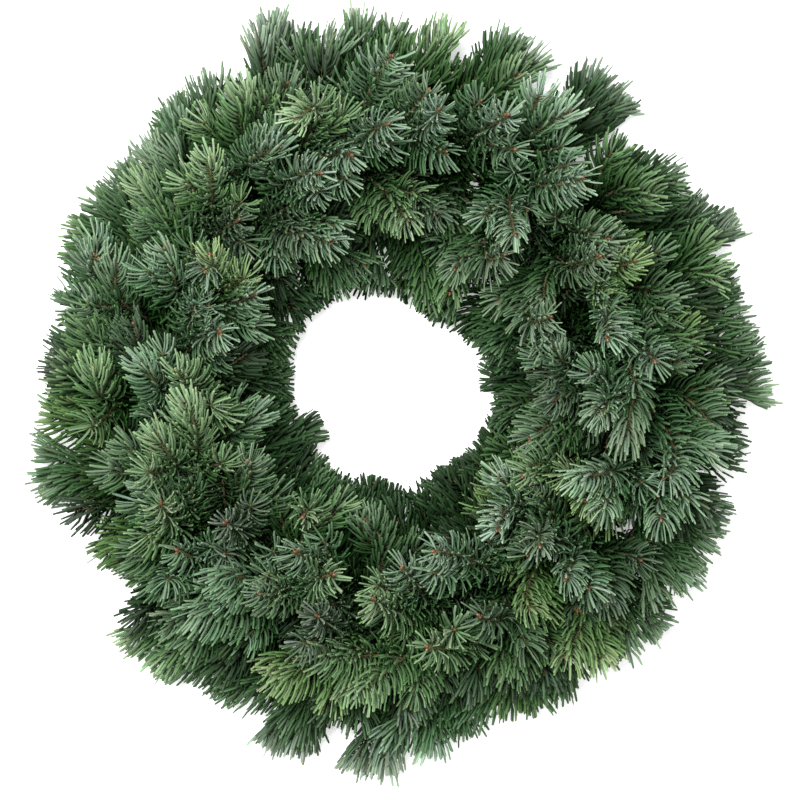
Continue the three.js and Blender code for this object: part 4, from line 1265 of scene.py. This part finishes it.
class Graph:
    """The nodes of one material."""

    def __init__(self, name):
        self.material = bpy.data.materials.new(name)
        self.material.use_nodes = True
        self.tree = self.material.node_tree
        self.tree.nodes.clear()

    def add(self, kind, settings=None, inputs=()):
        """A node of a type, with its settings made first and then its sockets, by name or place."""
        node = self.tree.nodes.new(kind)
        for name, value in (settings or {}).items():
            setattr(node, name, value)
        named = inputs.items() if isinstance(inputs, dict) else enumerate(inputs)
        for name, value in named:
            self.join(value, node.inputs[name])
        return node

    def join(self, value, socket):
        """Links a socket to another, or sets it to a plain value."""
        if isinstance(value, Number):
            value = value.socket
        if isinstance(value, bpy.types.NodeSocket):
            self.tree.links.new(value, socket)
        else:
            socket.default_value = value

    def mix(self, share, first, second, blend="MIX"):
        """Two colours mixed by a share."""
        settings = {"data_type": "RGBA", "blend_type": blend}
        node = self.add("ShaderNodeMix", settings, {0: share, 6: first, 7: second})
        return node.outputs[2]

    def tint(self):
        """The colour that each shape was given when its mesh was made; on needles it holds their
        painted light and shade.
        """
        return self.add("ShaderNodeAttribute", {"attribute_name": "tint"}).outputs["Color"]

    def place(self):
        """The three numbers of a point's place on its own shape."""
        vector = self.add("ShaderNodeAttribute", {"attribute_name": "place"}).outputs["Vector"]
        parts = self.add("ShaderNodeSeparateXYZ", None, (vector,)).outputs
        return [Number(self, part) for part in parts]

    def position(self):
        """Where a point lies on the wreath."""
        return self.add("ShaderNodeTexCoord").outputs["Object"]

    def noise(self, size, detail):
        """Soft noise whose blotches are about so many millimetres across."""
        inputs = {"Vector": self.position(), "Scale": 1000 / size, "Detail": detail}
        return Number(self, self.add("ShaderNodeTexNoise", None, inputs).outputs[0])

    def cells(self, size):
        """Distance to the nearest of many scattered points, about so many millimetres apart."""
        inputs = {"Vector": self.position(), "Scale": 1000 / size}
        return Number(self, self.add("ShaderNodeTexVoronoi", None, inputs).outputs["Distance"])

    def bump(self, height, depth, strength):
        """A relief so many millimetres deep."""
        inputs = {"Height": height, "Distance": depth * MM, "Strength": strength}
        return self.add("ShaderNodeBump", None, inputs).outputs[0]

    def finish(self, **sockets):
        """The shader, with its sockets given by name, and the output."""
        inputs = {}
        for name, value in sockets.items():
            inputs[name.replace("_", " ").title().replace("Ior", "IOR")] = value
        shader = self.add("ShaderNodeBsdfPrincipled", None, inputs)
        self.add("ShaderNodeOutputMaterial", None, (shader.outputs[0],))
        return self.material


def colour(red, green, blue):
    """A colour as the sockets take it, with nothing let through."""
    return (red, green, blue, 1.0)


# Colours that a needle's own green is multiplied by
DULLER = colour(0.78, 0.95, 0.8)
WAXED = colour(2.35, 1.75, 2.9)
FOOT_CAST = colour(0.9, 0.8, 0.45)
TIP_CAST = colour(1.9, 1.6, 1.3)
# Painted shade along the middle of each needle, where its groove lies
GROOVE_PAINTED_SHADE = colour(0.5, 0.62, 0.5)

# Colours that are mixed over bark, buds, lacquer and floor
LEAF_SCAR = colour(0.05, 0.038, 0.016)
RUDDY_DOWN = colour(0.19, 0.15, 0.06)
SCALE_EDGE = colour(0.24, 0.12, 0.048)
RESIN_DUST = colour(0.19, 0.08, 0.028)
DARK_LACQUER = colour(0.02, 0.06, 0.03)
BARE_WIRE = colour(0.32, 0.31, 0.29)
PALE_FLOOR = colour(0.92, 0.92, 0.92)
WHITE = colour(1.0, 1.0, 1.0)


def needle_finish(name, shine):
    """Waxy needles: painted shade down a groove in the blade, a pale bloom beside it and a paler
    back.
    """
    graph = Graph(name)
    along, across, face = graph.place()
    fine, broad = graph.noise(1.2, 3.0), graph.noise(14.0, 1.0)
    back = (face * -1.0).rise(0.05, 0.5)
    off_groove = across.size()
    bands = off_groove.rise(0.08, 0.3) * (1 - off_groove.rise(0.62, 0.9))
    bloom = bands * (fine.rise(0.3, 0.7) * 0.5 + 0.5)
    wax = (bloom * (back * 0.45 + 0.3)).held()
    foot, tip = 1 - along.rise(0.02, 0.25), along.rise(0.88, 1.0)
    # Painted shade: the middle of the blade is darkened as if its groove held shade
    groove = 1 - off_groove.rise(0.0, 0.22)
    green = graph.mix(broad.rise(0.35, 0.7) * 0.5, graph.tint(), DULLER, "MULTIPLY")
    waxed = graph.mix(wax, green, WAXED, "MULTIPLY")
    footed = graph.mix(foot * 0.6, waxed, FOOT_CAST, "MULTIPLY")
    tipped = graph.mix(tip * 0.3, footed, TIP_CAST, "MULTIPLY")
    grooved = graph.mix(groove * 0.6, tipped, GROOVE_PAINTED_SHADE, "MULTIPLY")
    height = off_groove * 0.6 + fine * 0.4
    return graph.finish(
        base_color=grooved,
        roughness=(bloom * 0.2 + fine * 0.12 + 0.4).held(),
        normal=graph.bump(height, 0.12, 0.6),
        specular_ior_level=shine,
    )


def bark_finish():
    """Young fir bark: downy olive-brown, with darker leaf scars and a fine fissured bump."""
    graph = Graph("fir_bark")
    fine, scars = graph.noise(0.7, 4.0), graph.cells(1.7)
    dark = graph.mix(scars.rise(0.1, 0.45) * 0.5, graph.tint(), LEAF_SCAR)
    ruddy = graph.mix(fine.rise(0.35, 0.75) * 0.35, dark, RUDDY_DOWN)
    return graph.finish(
        base_color=ruddy,
        roughness=fine * 0.2 + 0.68,
        normal=graph.bump(fine * 0.6 + scars, 0.35, 0.9),
    )


def bud_finish():
    """Buds under a thin coat of resin: overlapping scales with paler edges."""
    graph = Graph("fir_bud")
    scales = graph.cells(1.1)
    fine = graph.noise(0.6, 3.0)
    edge = scales.rise(0.25, 0.6)
    scaled = graph.mix(edge * 0.5, graph.tint(), SCALE_EDGE)
    dusted = graph.mix(fine.rise(0.5, 0.8) * 0.3, scaled, RESIN_DUST)
    return graph.finish(
        base_color=dusted,
        roughness=0.5 - edge * 0.15,
        normal=graph.bump(1 - scales, 0.4, 0.8),
        coat_weight=0.35,
        coat_roughness=0.25,
    )


def wire_finish(base):
    """Green lacquer on drawn wire, rubbed to bare metal in a few places."""
    graph = Graph("green_lacquered_wire")
    broad, fine = graph.noise(6.0, 3.0), graph.noise(0.9, 4.0)
    rubbed = (broad * 0.7 + fine * 0.3).rise(0.61, 0.68)
    mottled = graph.mix(fine.rise(0.3, 0.8) * 0.4, colour(*base), DARK_LACQUER)
    worn = graph.mix(rubbed, mottled, BARE_WIRE)
    return graph.finish(
        base_color=worn,
        metallic=rubbed * 0.85,
        roughness=fine * 0.2 + 0.3,
        normal=graph.bump(fine + broad, 0.12, 0.5),
    )


def floor_finish(base):
    """A matt white floor with a faint glow, so that it stays white under soft light."""
    graph = Graph("plain_floor")
    soft = graph.noise(40.0, 1.0)
    return graph.finish(
        base_color=graph.mix(soft * 0.04, colour(*base), PALE_FLOOR),
        roughness=0.9,
        emission_color=WHITE,
        emission_strength=FLOOR_GLOW,
    )


# ---------------------------------------------------------------------------------------------
# Stage
# ---------------------------------------------------------------------------------------------


def aimed(thing, place, target):
    """Stands a light or camera at a place so that it looks at a target."""
    thing.location = place
    thing.rotation_euler = (Vector(target) - Vector(place)).to_track_quat("-Z", "Y").to_euler()


def add_light(name, place, size, energy):
    """A round soft light that shines on the wreath."""
    data = bpy.data.lights.new(name, "AREA")
    data.shape = "DISK"
    data.size = size
    data.energy = energy
    light = bpy.data.objects.new(name, data)
    bpy.context.scene.collection.objects.link(light)
    aimed(light, place, LIT_PLACE)


def add_camera(settings):
    """A camera straight above, which sees the given width at the foliage's middle height."""
    data = bpy.data.cameras.new("view_from_above")
    data.sensor_width = SENSOR
    data.lens = SENSOR * settings.camera_distance / settings.view_width
    camera = bpy.data.objects.new("view_from_above", data)
    bpy.context.scene.collection.objects.link(camera)
    x = HOOP_MIDDLE[0] * MM + VIEW_OFFSET[0] * MM
    y = HOOP_MIDDLE[1] * MM + VIEW_OFFSET[1] * MM
    camera.location = (x, y, VIEW_HEIGHT * MM + settings.camera_distance)
    camera.rotation_euler = (0, 0, 0)
    bpy.context.scene.camera = camera


def add_floor(settings):
    """One square face that the wreath lies on."""
    turns = ((-1, -1), (1, -1), (1, 1), (-1, 1))
    corners = [(x * FLOOR_HALF, y * FLOOR_HALF, 0) for x, y in turns]
    data = bpy.data.meshes.new("floor")
    data.from_pydata(corners, [], [(0, 1, 2, 3)])
    data.materials.append(floor_finish(settings.floor_colour))
    floor = bpy.data.objects.new("floor", data)
    bpy.context.scene.collection.objects.link(floor)


def set_world(strength):
    """Even white light from all sides."""
    world = bpy.data.worlds.new("soft_light")
    world.use_nodes = True
    background = world.node_tree.nodes["Background"]
    background.inputs["Color"].default_value = WHITE
    background.inputs["Strength"].default_value = strength
    bpy.context.scene.world = world
    bpy.context.scene.view_settings.view_transform = "Standard"


# ---------------------------------------------------------------------------------------------
# Settings, operators and panel
# ---------------------------------------------------------------------------------------------


class WreathNeedleSettings(bpy.types.PropertyGroup):
    """Sizes and stand of the needles."""

    length: FloatProperty(
        name="Length", description="Needle, foot to tip", default=0.0225, unit="LENGTH",
    )
    width: FloatProperty(
        name="Width", description="Across the blade", default=0.0019, unit="LENGTH",
    )
    thickness: FloatProperty(
        name="Thickness", description="Through the blade", default=0.001, unit="LENGTH",
    )
    per_cm: FloatProperty(
        name="Per cm", description="Needles on a centimetre of young twig", default=20.0,
    )
    per_cm_inside: FloatProperty(
        name="Per cm inside", description="The same on older wood", default=14.0,
    )
    per_cm_plain: FloatProperty(
        name="Per cm beneath", description="The same on the lowest twigs", default=15.5,
    )
    lean_base: FloatProperty(
        name="Lean at base", description="Degrees off the twig, lowest needles", default=62.0,
    )
    lean_tip: FloatProperty(
        name="Lean at tip", description="Degrees off the twig, last needles", default=32.0,
    )
    comb: FloatProperty(
        name="Comb", description="How far needles are swept to one side", default=0.68,
    )
    lift: FloatProperty(name="Lift", description="How far needles turn upwards", default=0.22)


class WreathHoopSettings(bpy.types.PropertyGroup):
    """Finish of the hoop."""

    lacquer: FloatVectorProperty(
        name="Lacquer", description="Colour of the hoop's lacquer", subtype="COLOR",
        default=(0.035, 0.1, 0.045), min=0.0, max=1.0,
    )


class WreathStageSettings(bpy.types.PropertyGroup):
    """Floor, light and camera."""

    floor_colour: FloatVectorProperty(
        name="Floor", description="Colour of the floor", subtype="COLOR",
        default=(0.96, 0.96, 0.96), min=0.0, max=1.0,
    )
    view_width: FloatProperty(
        name="View width", description="Seen at the foliage", default=0.5142, unit="LENGTH",
    )
    camera_distance: FloatProperty(
        name="Camera distance", description="Camera above the foliage", default=2.1, unit="LENGTH",
    )
    key_energy: FloatProperty(
        name="Key light", description="Power of the main light", default=72.0, unit="POWER",
    )
    fill_energy: FloatProperty(
        name="Fill light", description="Power of the second light", default=14.0, unit="POWER",
    )
    world_strength: FloatProperty(
        name="World light", description="Strength of the soft light", default=0.39,
    )


class WREATH_OT_hoop(bpy.types.Operator):
    """Make the wire hoop with its welded clamps"""

    bl_idname = "wreath.hoop"
    bl_label = "Hoop and clamps"

    def execute(self, context):
        make_hoop(wire_finish(context.scene.wreath_hoop.lacquer))
        return {"FINISHED"}


class WREATH_OT_branches(bpy.types.Operator):
    """Make the fifty-four fir branches with their twigs, buds and needles"""

    bl_idname = "wreath.branches"
    bl_label = "Fir branches"

    def execute(self, context):
        given = context.scene.wreath_needles
        sizes = SimpleNamespace(
            length=given.length / MM, width=given.width / MM, thickness=given.thickness / MM,
            per_cm=given.per_cm, per_cm_inside=given.per_cm_inside, per_cm_plain=given.per_cm_plain,
            lean_base=given.lean_base, lean_tip=given.lean_tip, comb=given.comb, lift=given.lift,
        )
        # The needles within take a copy of the finish without sheen: painted shade, which takes
        # their reflections away where little light reaches
        young, sheenless_within = needle_finish("fir_needle", 0.16), needle_finish("fir_needle_within", 0.0)
        materials = [young, bark_finish(), bud_finish(), sheenless_within]
        for branch in lay_out():
            dress_branch(branch, materials, sizes)
        return {"FINISHED"}


class WREATH_OT_stage(bpy.types.Operator):
    """Set the pale floor, the soft lights and the camera above the wreath"""

    bl_idname = "wreath.stage"
    bl_label = "Stage"

    def execute(self, context):
        settings = context.scene.wreath_stage
        add_floor(settings)
        set_world(settings.world_strength)
        add_light("key_light", KEY_PLACE, KEY_SIZE, settings.key_energy)
        add_light("fill_light", FILL_PLACE, FILL_SIZE, settings.fill_energy)
        add_camera(settings)
        return {"FINISHED"}


class WREATH_PT_panel(bpy.types.Panel):
    """The wreath's sizes and makers"""

    bl_idname = "WREATH_PT_panel"
    bl_label = "Evergreen wreath"
    bl_space_type = "VIEW_3D"
    bl_region_type = "UI"
    bl_category = "Wreath"

    def draw(self, context):
        column = self.layout.column()
        for group in ("wreath_needles", "wreath_hoop", "wreath_stage"):
            settings = getattr(context.scene, group)
            for name in settings.__annotations__:
                column.prop(settings, name)
        for maker in (WREATH_OT_hoop, WREATH_OT_branches, WREATH_OT_stage):
            column.operator(maker.bl_idname)


CLASSES = (
    WreathNeedleSettings,
    WreathHoopSettings,
    WreathStageSettings,
    WREATH_OT_hoop,
    WREATH_OT_branches,
    WREATH_OT_stage,
    WREATH_PT_panel,
)


def register():
    for kind in CLASSES:
        bpy.utils.register_class(kind)
    bpy.types.Scene.wreath_needles = PointerProperty(type=WreathNeedleSettings)
    bpy.types.Scene.wreath_hoop = PointerProperty(type=WreathHoopSettings)
    bpy.types.Scene.wreath_stage = PointerProperty(type=WreathStageSettings)


def unregister():
    for name in ("wreath_needles", "wreath_hoop", "wreath_stage"):
        delattr(bpy.types.Scene, name)
    for kind in reversed(CLASSES):
        bpy.utils.unregister_class(kind)


def main():
    register()
    bpy.ops.wreath.hoop()
    bpy.ops.wreath.branches()
    bpy.ops.wreath.stage()


if __name__ == "__main__":
    main()
